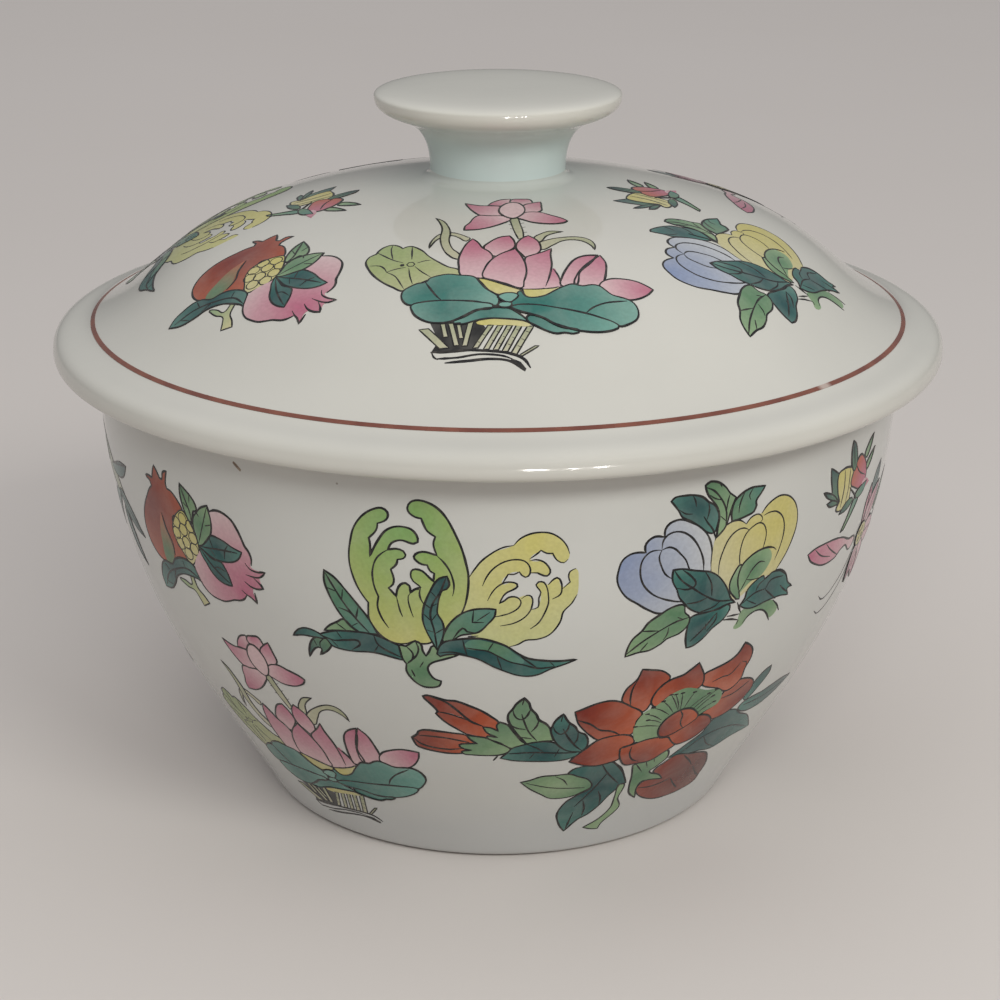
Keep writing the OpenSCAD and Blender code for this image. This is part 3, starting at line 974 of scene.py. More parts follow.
    # Broad leaves in front
    spray.patch(broad_deep, broad_pale, [
        (-18.6, 1.7), (-17.2, 2.4), (-15.7, 2.5), (-15, 3.6), (-13.4, 4.3), (-11.3, 4.6), (-9, 4),
        (-7.6, 3.8), (-6.3, 3.2), (-5.3, 1.3), (-4.25, -0.6), (-3, -1.8), (-2, -2.9), (-1.8, -4.3),
        (-2.4, -5.6), (-3.8, -5.2), (-5.9, -4.3), (-9.7, -3.7), (-13, -3.4), (-16.3, -3.3),
        (-18.6, -3.8), (-19.7, -3.1), (-20.4, -1.4), (-20.1, 0.5)], heart=(-14, -0.5))
    spray.line([(-15.7, 2.3), (-14.7, 0), (-13.6, -2.2), (-12.8, -3.3)], 0.7)
    spray.patch(broad_deep, broad_pale, [
        (-16.3, -3.4), (-13, -3.4), (-9.7, -3.8), (-5.9, -4.5), (-3, -5.8), (-6.3, -6.6), (-8.8, -8.1),
        (-10.9, -9.1), (-13, -9.3), (-15.5, -8.7), (-17.6, -7), (-18.4, -5.4), (-18.5, -3.9)],
        heart=(-12, -6.5))
    spray.wash(yellow_deep, yellow_pale, [
        (-6.3, -9.75), (-3.8, -9), (-0.5, -9.25), (2.4, -9.7), (3.9, -10.8), (0.3, -10.7), (-3, -10.6),
        (-5.5, -10.4)])
    spray.patch(broad_deep, broad_pale, [
        (-8.4, -8.1), (-5.9, -6.6), (-3, -6.1), (-0.1, -6.3), (1.6, -7.5), (3.25, -9.3),
        (3.7, -10, corner), (2.4, -9.5), (-0.5, -9.1), (-3.8, -8.9), (-6.3, -9.3), (-8.8, -10),
        (-10.3, -9.8), (-10.9, -9.3)], heart=(-4, -7.6))
    spray.patch(broad_deep, broad_pale, [
        (0.3, -5.8), (0.5, -4.75), (1.6, -2.7), (2.2, -1.5), (3.25, -3.1), (4.9, -3.4), (7, -2.7),
        (9.1, -1), (10.75, 0.25), (12.4, 1.1), (14.3, 0.7), (16.2, 1.3), (17.6, 1.1), (18.9, -0.2),
        (19.9, -1.2), (22.8, -2), (24.1, -2.9), (24.8, -4.75), (24.5, -6.8), (22.8, -8.5), (20.75, -9.4),
        (17, -7.7), (12.8, -6.6), (8.7, -6), (4.5, -5.4)], heart=(5, -4.6))
    spray.line([(14.7, -6.8), (16.2, -5.2), (18.7, -3.7), (22.8, -2.5)], 0.6)
    spray.patch(broad_deep, broad_pale, [
        (0.5, -5.9), (4.5, -5.4), (8.7, -6), (12.8, -6.8), (17, -7.75), (20.75, -9.3), (19.9, -10.4),
        (17, -11.4), (13.25, -11.5), (10.3, -10.8), (8.25, -10), (6.6, -8.9), (4.1, -7.9), (1.6, -7)],
        heart=(4, -6.6))
    spray.patch(broad_deep, broad_pale, [
        (3.7, -8.1), (6.2, -8.7), (8.25, -10.2), (10.3, -11), (13.25, -11.5), (12, -12.3), (10.3, -12.2),
        (8.7, -12.5), (7, -12), (4.9, -10.8), (3.25, -9.5)])
    spray.patch(broad_pale, broad_pale, [(-1.9, -2.8), (1.7, -2.5), (0.6, -4.6), (-0.7, -4.6)])
    spray.patch(broad_pale, broad_pale, [
        (-1.8, -4.9), (-0.7, -4.7), (0.5, -5), (0.3, -5.9), (-0.8, -6.2), (-2, -5.8)])
    return spray


lotus = draw_lotus()
lay_spray("lotus_lid_front", lotus, "lid", 1.9, 34.5)
lay_spray("lotus_bowl_left", lotus, "bowl", -34, 24.6, 14.3, 0.95)


# Citrons.
# Two fingered citrons, one green and one yellow, on a forked stalk with long dark leaves. The
# fingers' outline runs in and out round each fingertip, as the print does.
citron_deep, citron_pale = srgb(118, 158, 90), srgb(188, 186, 112)
gold_deep, gold_pale = srgb(196, 188, 112), srgb(188, 190, 136)
fine_line = 0.4


def draw_citrons():
    spray = Spray()

    # The yellow citron behind, and the pale hollow between its fingers
    spray.wash(gold_deep, gold_pale, [
        (19.3, 13.2), (21.2, 12.8), (23, 11.5), (24.1, 9.9), (24.6, 8.3), (24.3, 7.1), (23.5, 6.5),
        (22.4, 7), (21.6, 8.1), (20.3, 8.8), (19.2, 9.4), (17.2, 7.7), (19.7, 7), (20.8, 5.2), (20.3, 4),
        (18.5, 4.7), (17.1, 4.9), (16.2, 4), (15.1, 5.2), (13, 4.8), (11.8, 2.7), (13.7, 3), (14.6, 2.4),
        (12.8, 0.9), (11.3, -1.5), (13, -0.3), (14.8, -0.4), (16.4, 0), (17.4, -1), (17.2, -3.2),
        (18.5, -2.8), (19.1, 0.5), (18.2, 2.2), (19.7, 2.6), (20.5, 2), (22.2, 3.4), (23.1, 1.3),
        (24.7, 2.2), (24.4, 3.6), (25.8, 5), (26.3, 2.5), (26, -0.8), (24.9, -2.6), (23.3, -4.3),
        (22.8, -6.2), (20.3, -9.5), (16, -10.3), (12.8, -11.7), (6, -9), (3, -6), (4.7, -1.6),
        (5.4, 1.7), (5.6, 4.2), (6.6, 5.7), (9.9, 9.2), (14.1, 10.8), (15.3, 12.1), (17.2, 13)])
    for finger in (
            [(5.6, 4.1), (6.6, 5.7), (8, 7.6), (9.9, 9.2), (12, 10.4), (14.1, 10.8)],
            [(14.1, 10.8), (15.3, 12.1), (17.2, 13), (19.3, 13.2), (21.2, 12.8), (23, 11.5), (24.1, 9.9),
             (24.6, 8.3)],
            [(24.3, 7.2), (23.5, 6.5), (22.4, 7), (21.8, 7.8), (21.4, 8.7, corner), (20.3, 8.8),
             (19.2, 9.5, corner), (18.2, 8.6), (17, 7.8)],
            [(17, 7.4), (18.2, 7.6), (19.7, 7), (20.7, 5.7), (20.9, 4.7), (20.3, 4), (19.3, 4.3),
             (18.5, 4.8, corner), (17.1, 4.9)],
            [(8.1, 2.3), (8.9, 4.2), (10.1, 5.9), (11.8, 7.2), (13.7, 7.8), (15.5, 7.7), (16.6, 7),
             (17.2, 5.5), (16.8, 4.2), (16.2, 4), (15.5, 4.5), (15.1, 5.2, corner), (14.1, 4.7),
             (13, 4.8, corner), (12.4, 3.7), (11.8, 2.7)],
            [(9, -0.9), (9.9, 0.9), (11, 2.2), (12.4, 3), (13.7, 3), (14.6, 2.6), (14.7, 2), (13.9, 1.4),
             (12.8, 0.9), (12, 0.1), (11.2, -1.6, corner), (12.2, -1), (13, -0.3), (14.1, -0.2),
             (15, -0.7), (15.3, -1.6), (14.7, -2.8), (13.2, -3.8), (11.6, -4.3), (10.1, -4.6)],
            [(15.4, -0.7), (16.4, 0), (17.3, -0.3), (17.5, -1.6), (17, -3.5), (15.7, -5.1), (13.7, -6.2),
             (11.2, -6.7)],
            [(17.2, -3.2), (18.5, -2.8), (18.7, -0.7), (19.1, 0.5), (18.2, 2.2), (18.7, 2.8),
             (19.7, 2.6), (20.3, 1.3), (20.5, -0.3), (20.5, -2), (19.7, -4.3), (18.5, -6.4), (16.9, -7.7)],
            [(20.5, 2), (21.2, 2.8), (22.2, 3.4), (22.9, 2.6), (23.1, 1.3), (22.8, -0.3), (21.2, -1.2)],
            [(25.8, 5), (24.7, 4.5), (24.4, 3.4), (24.7, 2.2, corner), (23.2, 0.9)],
            [(26, -0.7), (24.9, -2.6), (23.3, -4.3), (22.8, -6.2), (21.8, -8), (20.3, -9.5),
             (18.2, -10.2), (16, -10.3), (14.5, -11.2), (12.8, -11.7)]):
        spray.line(finger, fine_line)

    # The green citron in front of it
    hand = [
        (-10.7, 17.5), (-12.3, 17.1), (-14, 16), (-15.5, 14.3), (-16.5, 12.4), (-17.1, 10), (-17.5, 7.6),
        (-17.5, 5.1), (-17, 2.6), (-16.1, 0.1), (-15.1, -1.7), (-14.1, -3.1, corner), (-14.2, -4.8),
        (-14.2, -6.7), (-13.5, -8.3), (-12.2, -10.2), (-10.6, -11.4), (-8.8, -11.9), (-7, -11.7),
        (-5.2, -10.8, corner), (-4.2, -11.4), (-2.4, -11.1), (-0.4, -9.5), (2.2, -6.8), (3.9, -4),
        (4.8, -1.6), (5.4, 1.7), (5.5, 4.7), (5.1, 7.2), (4.4, 10.1), (3.2, 13.2), (1.8, 16.1),
        (0.3, 18), (-1.5, 19.2), (-3.6, 19.7), (-5.1, 19.2), (-5.7, 18), (-5.3, 17), (-4.2, 16.3),
        (-3.1, 16.1, corner), (-2.7, 15), (-2, 13.6), (-0.5, 12.5, corner), (-0.9, 10.9),
        (-0.3, 8.6, corner), (-2.4, 9.2), (-3.8, 9), (-4.7, 8.1), (-4.2, 7.2), (-3.2, 6.6),
        (-2.2, 6.5, corner), (-1.7, 5.3), (-0.9, 4.8, corner), (-1.1, 3, corner), (-2, 3.9), (-3.2, 5.1),
        (-4.5, 5.4), (-5.3, 4.9), (-5.4, 3.6), (-5, 2.8), (-4, 2), (-3.6, 1.6, corner), (-4.9, 0.9),
        (-5.7, 0.1, corner), (-5.8, 1.7), (-6.5, 2.2), (-7.5, 1.8), (-8.2, 0.5), (-8.4, -1, corner),
        (-9.9, 0.8, corner), (-9, 1.7), (-8.8, 3), (-9.3, 4.9, corner), (-8.2, 6.1), (-7.9, 7.2, corner),
        (-6.8, 7.5), (-6.3, 8.3), (-6.7, 9), (-8, 9.4), (-9.8, 9, corner), (-9, 10.5), (-7.8, 11.2),
        (-6.7, 11.3), (-5.7, 11), (-4.7, 10.8), (-3.9, 11.2), (-4.1, 12.6), (-5.1, 13.7), (-6.7, 14.1),
        (-8.4, 13.9), (-10.1, 12.9), (-11.5, 10.9), (-12.6, 8.8), (-13.3, 7.2, corner), (-13.2, 9.7),
        (-13.4, 11.1, corner), (-12.2, 12.4), (-11.7, 13.4), (-11.6, 14.3, corner), (-10.3, 14.9),
        (-9.6, 15.7), (-9.6, 16.8)]
    spray.patch(citron_deep, citron_pale, hand, heart=(-7, 15))
    for finger in (
            [(-9.8, 9), (-10.9, 8.2), (-12, 7), (-12.7, 5.3), (-13, 3.2), (-12.7, 0.7),
             (-12, -1.4, corner), (-12.3, -3.5), (-12, -5.1), (-11.3, -6.8), (-10.3, -8.4)],
            [(-8.4, -1), (-8.1, -2.8), (-7.8, -4.3), (-7.4, -5.4)],
            [(-5.7, 0.1), (-6.1, -0.6), (-6.1, -2), (-5.7, -3.9), (-5.3, -5.3)],
            [(-5.7, 0.1), (-4.9, 0.9), (-3.9, 1.1)],
            [(-0.3, 8.6), (1, 7.2), (2.1, 5.3), (2.7, 3), (2.7, 1.3), (2.4, 0)],
            [(-1.1, 3), (-0.6, 1.7), (-0.2, 0.4)], [(-3.6, 1.6), (-3.9, 0.3), (-3.7, -1), (-3.1, -2.2)]):
        spray.line(finger)

    # Forked green stalk
    spray.patch(green_deep, green_pale, [
        (-5.2, -10.9), (-4.2, -11.5), (-3.9, -13.2), (-3.3, -14.4, corner), (-2.6, -13.2), (-1.8, -11.8),
        (0, -13), (3, -13.8, corner), (0.3, -14.9), (-2.2, -16), (-3.1, -17.2), (-2.9, -18.7),
        (-2, -20.1), (-0.7, -20.6, corner), (-1.2, -22), (-3.8, -22.5), (-5.3, -21.8), (-6.5, -20.5),
        (-7.4, -18.7), (-7.3, -16.8, corner), (-8, -15.6), (-8.6, -12.4), (-7.2, -12.4)],
        heart=(-4, -19))
    spray.line([(-7.3, -12.2), (-5.9, -14), (-6.2, -15.8), (-7.2, -16.8)])
    spray.line([(-5.2, -11), (-4.7, -12.8), (-5.4, -14.8), (-7, -16.4)])
    spray.line([(-6.4, -18.2), (-5.8, -19.9)], 0.7)
    spray.line([(-3.9, -15.9), (-4.7, -17.4)], 0.6)

    # Leaves on the left
    spray.patch(green_deep, teal_pale, [
        (-23, 2.5, corner), (-20.9, 1.3), (-18.6, -1.2), (-16.3, -4.1), (-14.2, -7),
        (-12.6, -10.3, corner), (-14.7, -10.5), (-16.3, -10.5), (-18, -9.5), (-19.5, -7.8),
        (-21.1, -5.3), (-22.4, -2.4), (-23.1, 0.1)])
    for vein in (
            [(-22.8, 2), (-20.5, -2), (-19.3, -4), (-17, -7.2), (-14.3, -10.3)],
            [(-22.6, -1.3), (-20.7, -1.8)],
            [(-20.4, -5.4), (-18.2, -6), (-16.9, -7.2, corner), (-16.3, -4.6)],
            [(-19.3, -1), (-19.6, -3.4)], [(-17.8, -9.2), (-16.6, -8.3)]):
        spray.line(vein)
    spray.patch(green_pale, green_deep, [
        (-24, -11.7, corner), (-22.6, -10.1), (-20.9, -8.9), (-19.5, -8), (-18, -9.4),
        (-16.3, -10.5, corner), (-19.2, -10.7), (-21.3, -11)])
    spray.line([(-21.2, -9.2), (-19.2, -10.5)])
    spray.patch(teal_deep, green_deep, [
        (-28, -19.5, corner), (-27.8, -17.4), (-27.2, -15.3), (-26.1, -14), (-24, -13.4), (-22.7, -14.6),
        (-23.4, -16.4), (-25.4, -18.3, corner), (-25, -16.5), (-26.4, -16.8)])
    spray.line([(-24, -13.6), (-25.2, -15), (-25.2, -16.4)], 0.45)
    spray.line([(-26.6, -14.6), (-26, -16)], 0.42)
    spray.patch(teal_deep, teal_pale, [
        (-31.3, -15, corner), (-30, -13.2), (-28.4, -12.3), (-26.7, -12.3), (-25.1, -12.8),
        (-23.6, -13.4), (-26, -13.9), (-28.8, -14.2)])
    spray.patch(teal_deep, teal_pale, [
        (-8, -15.9, corner), (-8.6, -12.4, corner), (-10.3, -11.6), (-12.2, -10.8), (-14.7, -10.4),
        (-17.2, -10.5), (-19.7, -10.8), (-21.7, -11.3), (-24, -12.3), (-25, -12.9, corner),
        (-23.6, -13.7), (-22.4, -15.1), (-20, -15.5), (-17.6, -15.4), (-15, -15), (-12.6, -15),
        (-10, -15.5)], heart=(-14, -13))
    for vein in (
            [(-25, -12.9), (-22, -13.6), (-19.5, -13), (-16.5, -12.9), (-18.4, -15.3)],
            [(-21.2, -11.3), (-20.3, -12.7)], [(-13.5, -10.6), (-12.6, -12.9), (-8.2, -15.3)],
            [(-12.7, -13), (-13.7, -14.9)], [(-22.6, -13.6), (-21.2, -15)]):
        spray.line(vein, 0.55)

    # Leaves on the right
    spray.patch(green_deep, teal_pale, [
        (0.3, -11, corner), (0.1, -10), (1, -7.4), (2.4, -5.3), (4.3, -3.7), (6.4, -2.9), (8.7, -2.7),
        (10.5, -2.9, corner), (10.2, -4.5), (8.9, -6.2), (7.2, -8), (5.5, -8.5), (3.7, -8.9),
        (1.8, -10.3)])
    for vein in (
            [(2, -10), (4.1, -7.2), (4.9, -8, corner), (6.4, -8.2)],
            [(6.3, -3.1), (6, -5.8, corner), (8.2, -5.8)], [(6.9, -5.4), (9.4, -3.5)],
            [(5, -9.2), (7, -9)]):
        spray.line(vein)
    spray.patch(teal_deep, teal_pale, [
        (1.5, 4.3, corner), (1.9, 2.5), (1.3, 1.5, corner), (0.5, 1.2), (-0.1, -0.3), (-0.5, -2.4),
        (-0.6, -4.1), (0.2, -5.7), (0.5, -7.4), (0.3, -9.1), (-0.3, -11.2), (-1, -12.8, corner),
        (-2, -10.5), (-3, -8), (-3.5, -5.7), (-3.3, -3.2), (-2.7, -1.2), (-1.8, 0.9), (-0.9, 2.7),
        (0.1, 3.8)])
    for vein in (
            [(1.3, 4), (0, 0.6), (-1.4, -1.8), (-2, -4.6), (-1.4, -8), (-1, -12.6)],
            [(-1.8, 0.9), (-0.7, -0.4)], [(-3, -2), (-1.8, -3)], [(-3.3, -4.3), (-1.9, -5.8)],
            [(-0.7, -4.1), (-1.8, -5.8)], [(-3, -7.9), (-1.6, -8.4)], [(0.4, -7.5), (-1.3, -8.8)],
            [(-0.6, -1.8), (-1.5, -2.4)]):
        spray.line(vein)
    spray.patch(teal_deep, teal_pale, [
        (25.7, -16, corner), (22.4, -16), (19.1, -15.5), (16.2, -14.7), (14.5, -13.5), (12.4, -11.6),
        (10.3, -10.5), (8, -9.7), (5.7, -9.6), (3.2, -9.9), (0.7, -10.5), (-0.5, -11.6),
        (-1.1, -13.6, corner), (-0.5, -14.2, corner), (0.7, -13.7), (2.8, -13.5), (4.9, -13.9),
        (7, -14.7), (9.5, -16.4), (12, -17.8), (14.1, -18.8), (16.2, -19.2), (18.2, -18.9),
        (20.7, -17.7), (23.2, -16.9)], heart=(7, -13))
    spray.wash(green_deep, teal_pale, [
        (10, -10.7), (5.7, -9.9), (4.3, -11.8), (8.7, -12.6), (12.8, -15.2), (15.5, -15.6),
        (13.9, -13.5), (12.2, -11.8)])
    for vein in (
            [(4, -9.9), (4.3, -11.8), (4.7, -13.8)],
            [(4.3, -11.8), (6.6, -12.2), (8.7, -12.6), (10.7, -13.9), (12.8, -15.3), (15.3, -16.2),
             (18.2, -17.3), (21.5, -17.2)],
            [(9.8, -10.6), (8.7, -12.5)], [(10.4, -14), (11.2, -17.2)], [(15, -14.2), (18, -17.2)],
            [(20.5, -15.9), (21.3, -17)], [(-0.9, -13.4), (1.5, -13), (4.5, -13.4)]):
        spray.line(vein)
    return spray


citrons = draw_citrons()
lay_spray("citrons_bowl_front", citrons, "bowl", -7.5, 78)
lay_spray("citrons_lid_left", citrons, "lid", -96.0, 28.4, 15.4)


# Melons.
# Two ribbed melons, one lilac-blue and one yellow, with three leaves above them and six below. The
# same print is laid again in greens on the right and the back, as gourds.
lilac_deep, lilac_pale = srgb(124, 138, 170), srgb(188, 190, 190)
melon_gold_deep, melon_gold_pale = srgb(190, 180, 104), srgb(192, 186, 148)


def draw_melons(left_deep, left_pale, right_deep, right_pale):
    spray = Spray()

    # The fruits and their ribs
    spray.patch(left_deep, left_pale, [
        (-13.3, 6.4, corner), (-14.8, 6.6), (-16.5, 6.3), (-17.9, 5.1), (-18.5, 2.8), (-18.5, 0.8),
        (-17.7, -1.1), (-16.2, -3), (-13.8, -4.7), (-11.5, -6.3), (-8.7, -7.6), (-4, -7), (0, -4),
        (1.5, 0), (1.3, 2), (1.2, 4.3), (0.6, 6.6), (-0.4, 8.5), (-1.9, 10.1), (-3.5, 11.2),
        (-5.4, 12.2), (-6.9, 12.5), (-8.7, 12), (-9.6, 10.8), (-9.6, 9.3, corner), (-11.5, 9.6),
        (-12.9, 8.9), (-13.5, 7.8)], heart=(-18.5, 3))
    for rib in (
            [(-10.1, 6.6), (-11.2, 6.7), (-12.5, 6.4), (-13.7, 5.1), (-14.1, 3.2), (-13.7, 0.8),
             (-12.7, -1.1), (-10.8, -3), (-8.5, -4.3), (-5.8, -5.3), (-3.5, -5.8)],
            [(-10, 6.6), (-10.4, 5.1), (-9.8, 3.2), (-8.7, 1.2), (-7.2, 0)],
            [(-10, 6.6), (-8.5, 7), (-7.1, 6.4), (-5.8, 5.1), (-4.6, 3.7), (-3.8, 2), (-3.1, 0.5)],
            [(-10, 6.8), (-9.8, 8.7), (-8.5, 9.9), (-6.5, 10), (-4.6, 9.1), (-2.9, 7.4), (-1.5, 5.1),
             (-0.6, 2.8), (-0.3, 0.7)]):
        spray.line(rib)
    spray.wash(right_deep, right_pale, [
        (1.3, 4.3), (1.5, 6.8), (1.9, 7.8), (3.5, 9.3), (5.4, 10), (7.3, 9.8), (8.8, 8.8), (9.8, 9.8),
        (11.2, 10.2), (12.5, 10.1), (13.8, 11.4), (15.8, 12.4), (17.7, 12.6), (20, 11.7), (21.9, 9.7),
        (22.9, 7), (22.9, 4.3), (22.1, 1.6), (20.8, -1.1), (18.5, -4.2), (14, -5), (9, -8), (7, -7),
        (4.5, -4), (3, -1.5), (1.6, 0)], heart=(18, 9))
    for rib in (
            [(1.6, 6.8), (1.9, 7.8), (3.5, 9.3), (5.4, 10), (7.3, 9.8), (8.8, 8.7)],
            [(3.3, -1.1), (3.2, 1.6), (3.7, 3.9), (4.8, 6.4), (6.5, 7.8), (8.3, 8), (9.8, 7.2)],
            [(8.5, -0.7), (8, 2), (8.2, 4.7), (9, 6.6), (10.4, 7.7), (12.1, 8.2), (13.5, 7.4),
             (14.3, 5.5), (14.2, 3.5), (13.8, 2)],
            [(8.8, 8.7), (9.8, 9.8), (11.2, 10.2), (12.3, 9.8), (12.9, 8.7), (12.3, 8.2)],
            [(13.1, 9.5), (14.6, 9.8), (16.5, 9.5), (18.3, 8), (19.2, 5.8), (19.2, 3.2), (18.5, 0.5),
             (17.7, -1.5)],
            [(12.6, 10.1), (13.8, 11.4), (15.8, 12.4), (17.7, 12.6), (20, 11.7), (21.9, 9.7), (22.9, 7),
             (22.9, 4.3), (22.1, 1.6), (20.8, -1.1), (18.5, -4.2)]):
        spray.line(rib, fine_line)

    # Three leaves above
    spray.patch(teal_deep, teal_pale, [
        (-8.7, 16.5, corner), (-7.9, 17.2), (-5.8, 17.3), (-3.8, 17.1), (-1.9, 16.4), (-0.6, 15.2),
        (0.6, 14.5), (1.5, 13.3), (2, 11.8), (1.7, 9.7), (1.2, 8.5), (-0.4, 8.9), (-2.3, 10.5),
        (-4.2, 11.8), (-6.2, 13), (-7.1, 14.5)], heart=(-3, 14.5))
    spray.patch(green_deep, green_pale, [
        (-1.5, 18.7, corner), (-0.4, 19.3), (1.5, 18.8), (3.1, 17.6), (4.2, 16.2), (5.6, 15.1, corner),
        (4.6, 12.4), (3.7, 9.3), (1.9, 7.4, corner), (1.9, 9.3), (2.1, 11.6), (1.5, 13.7), (0, 15.7),
        (-0.6, 16.4), (-1.2, 17.6)])
    spray.patch(green_deep, teal_pale, [
        (12.9, 15.8, corner), (11.5, 16), (9.8, 16.2), (8.1, 15.9), (6.5, 15.1), (5.4, 14.1), (4.9, 12),
        (5.2, 10.1, corner), (6.9, 10.2), (8.8, 10.5), (10.4, 11), (11, 12.2, corner), (10.8, 13.2),
        (11.9, 14.5)], heart=(6, 12))
    for vein in (
            [(-1.5, 12.4), (-0.4, 10.8), (0.8, 9.3), (1.7, 7.2)],
            [(-0.6, 15.1), (-0.3, 13.5), (-0.7, 11.6)], [(-4.2, 17.2), (-3.5, 15.8), (-3.3, 14.7)],
            [(-6.9, 14.5), (-5.4, 13.5), (-4, 13.3)],
            [(-1.3, 18.3), (0.4, 17.4), (1.9, 15.8), (3.1, 13.9), (3.7, 12), (3.7, 9.5)],
            [(-0.4, 16.6), (0.8, 15.7), (2.5, 15.1)], [(4.2, 16.1), (3.8, 14.6), (3.6, 12.6)],
            [(2.3, 11.8), (3.6, 10.6)], [(1.7, 18.6), (2.2, 17.8)],
            [(7.9, 15.8), (7.1, 14.3), (6.7, 12.8), (6.7, 11.6)], [(9.8, 16), (9, 14.7), (9.4, 13.7)],
            [(11, 13), (10.6, 10.8)]):
        spray.line(vein)

    # The stalk and the twigs under the fruits
    spray.wash(green_deep, green_pale, [
        (11, -11.4), (13.5, -11.4), (17.3, -11), (19.8, -11.8), (21.3, -13.4), (21.5, -14.8),
        (20.4, -15.9), (19.4, -15.9), (18.5, -14.5), (16.9, -13.1), (15, -12.7), (13.1, -13.6),
        (11.7, -15.5), (9.8, -15.5), (10.4, -13.8)], heart=(16, -11))
    for twig in (
            [(19.6, -11.6), (21.3, -13.4), (22.3, -15.1)],
            [(11.9, -14.9), (13.1, -13.4), (15, -12.7), (16.9, -13.1), (18.5, -14.5), (19.8, -16.7)],
            [(6.2, -12.4), (8.5, -12.8), (10.6, -13.6)], [(7.3, -11.8), (9, -12), (10.6, -12.1)],
            [(7.3, -9.3), (7.9, -10.5)], [(9.4, -9), (10.2, -10.6), (10.9, -12)],
            [(10.6, -13.6), (10.3, -14.6)]):
        spray.line(twig, 0.55)

    # Six leaves below
    spray.patch(green_deep, green_pale, [
        (8.8, -8, corner), (6.9, -5.7), (6.5, -3.8), (7.3, -1.5), (8.7, -0.1), (8.5, -2.4), (9, -5.7),
        (9.6, -8.2)])
    spray.wash(green_deep, green_pale, [
        (9.4, -6.7), (8.5, -4.2), (8.4, -2.2), (9, -0.3), (10.8, 1.2), (13.1, 2), (15.4, 1.8),
        (16.7, -0.3), (15.8, -2.6), (14.2, -4.2), (11.9, -4.7), (10.2, -6)], heart=(12, -2))
    for edge in (
            [(9.4, -6.7), (8.5, -4.2), (8.4, -2.2), (9, -0.3), (10.8, 1.2), (13.1, 2), (15.4, 2),
             (17.1, 1.4), (17.7, 0.8)],
            [(10.6, -3.9, corner), (11.9, -1.8), (13.5, -0.7), (15, -1.1)],
            [(10.6, -3.9), (12, -4.4), (13.9, -4.5)], [(9.3, -6.4), (10, -5.2), (10.6, -3.9)]):
        spray.line(edge)
    spray.patch(teal_deep, teal_pale, [
        (10.2, -9.9, corner), (11.2, -8.4), (11.5, -6.5), (13.5, -4.9), (15.3, -4.4), (15.8, -5.3),
        (17.7, -4.3), (20, -4.5), (21.5, -5.5), (22.3, -6.7), (23.1, -8.4), (24.8, -9.9, corner),
        (23.4, -10), (24, -11.8, corner), (21.2, -11.1), (17.3, -11.1), (13.8, -11.5), (11.5, -10.9)],
        0.4, heart=(17, -8))
    for vein in (
            [(10.2, -9.9), (13.5, -8), (16.5, -7.8)], [(13.8, -7.6), (14.4, -6.2), (15.8, -5.4)],
            [(16.5, -7.8), (17.7, -6.1), (21.2, -6.3)], [(16.5, -8), (18.5, -9.9), (20.2, -11.4)],
            [(20.8, -8.4), (22.3, -9.9), (24, -11.3)], [(11.9, -9.2), (14.6, -10.9)],
            [(17.5, -4.4), (20, -4.7), (22.1, -6.4)]):
        spray.line(vein)
    spray.patch(teal_deep, teal_pale, [
        (-1.1, -17.4, corner), (0.4, -17.2), (2.3, -15.9), (4.2, -13.8), (6.5, -12.2), (7.7, -9.9),
        (7.1, -8.8), (5, -9.3), (1.9, -9.5), (-1.5, -9.9), (-1.9, -12.6), (-1.7, -15.3)], heart=(1, -13))
    spray.patch(green_deep, green_pale, [
        (-14.4, -17.2, corner), (-14.2, -14.9), (-13.5, -13), (-11.9, -11.3), (-10.8, -9.5), (-8.7, -8),
        (-6.5, -6.7), (-3.7, -6.5), (-3.1, -8.4), (-1.9, -9.7), (-1.9, -11.5), (-3.5, -13.2),
        (-6.2, -14.1), (-7.3, -15.1), (-9.6, -16.3), (-11.9, -16.5)], heart=(-5, -9))
    spray.patch(teal_deep, teal_pale, [
        (-7.1, 1.9, corner), (-5, 1.8), (-2.7, 1.1), (-0.4, 0.5), (1.5, -0.1), (3.5, -1.5), (5.4, -3.8),
        (6.5, -5.7), (7.5, -7.6), (8.8, -8.8, corner), (7, -8.6), (4.2, -9.2), (1.9, -9.3), (0, -9),
        (-2.3, -7.6), (-3.5, -6.3), (-5, -4.5), (-5.8, -2.6), (-6.7, -1.1), (-7.1, 0.1)], heart=(1, -5))
    for vein in (
            [(-14.4, -16.7), (-11.5, -14), (-8.1, -11.8), (-5, -10.3), (-1.9, -9.7)],
            [(-12.1, -11.3), (-10.4, -11.5), (-8.1, -11.8)], [(-4.6, -9.2), (-3.5, -9.8)],
            [(-6.2, -11.3), (-6.3, -13), (-6.9, -14.2)], [(-10.2, -14.3), (-11.5, -16.3)],
            [(-0.6, -15.9), (1.9, -13.4), (4.6, -10.1)], [(4.6, -10.1), (4.6, -11.8), (2.9, -14.2)],
            [(2.3, -12.2), (2.5, -13.8)],
            [(-6.9, 1.8), (-5, -0.7), (-1.9, -3.2), (1.2, -5.5), (4.2, -7.2), (8.1, -8)],
            [(-5, 1.6), (-2.9, -0.2), (-1.7, -2.2), (-3.3, -3), (-5.8, -2.3)],
            [(0, 0.5), (1.9, -2.6), (2.5, -5.6)], [(-3.5, -6.3), (-0.4, -6.4), (1.5, -5.8)],
            [(0, -9), (3.4, -8.4), (4.8, -7.4)]):
        spray.line(vein)
    return spray


melons = draw_melons(lilac_deep, lilac_pale, melon_gold_deep, melon_gold_pale)
lay_spray("melons_bowl_right", melons, "bowl", 28.1, 79)
lay_spray("melons_lid_right", melons, "lid", 53.6, 32.2, -5.6)


# Pomegranates.
# A red fruit split over its yellow seeds and a pink one beside it, each with its crown, and five
# leaves by a bent twig.
red_deep, red_pale = srgb(114, 32, 22), srgb(172, 84, 52)
white_pink = srgb(204, 180, 180)


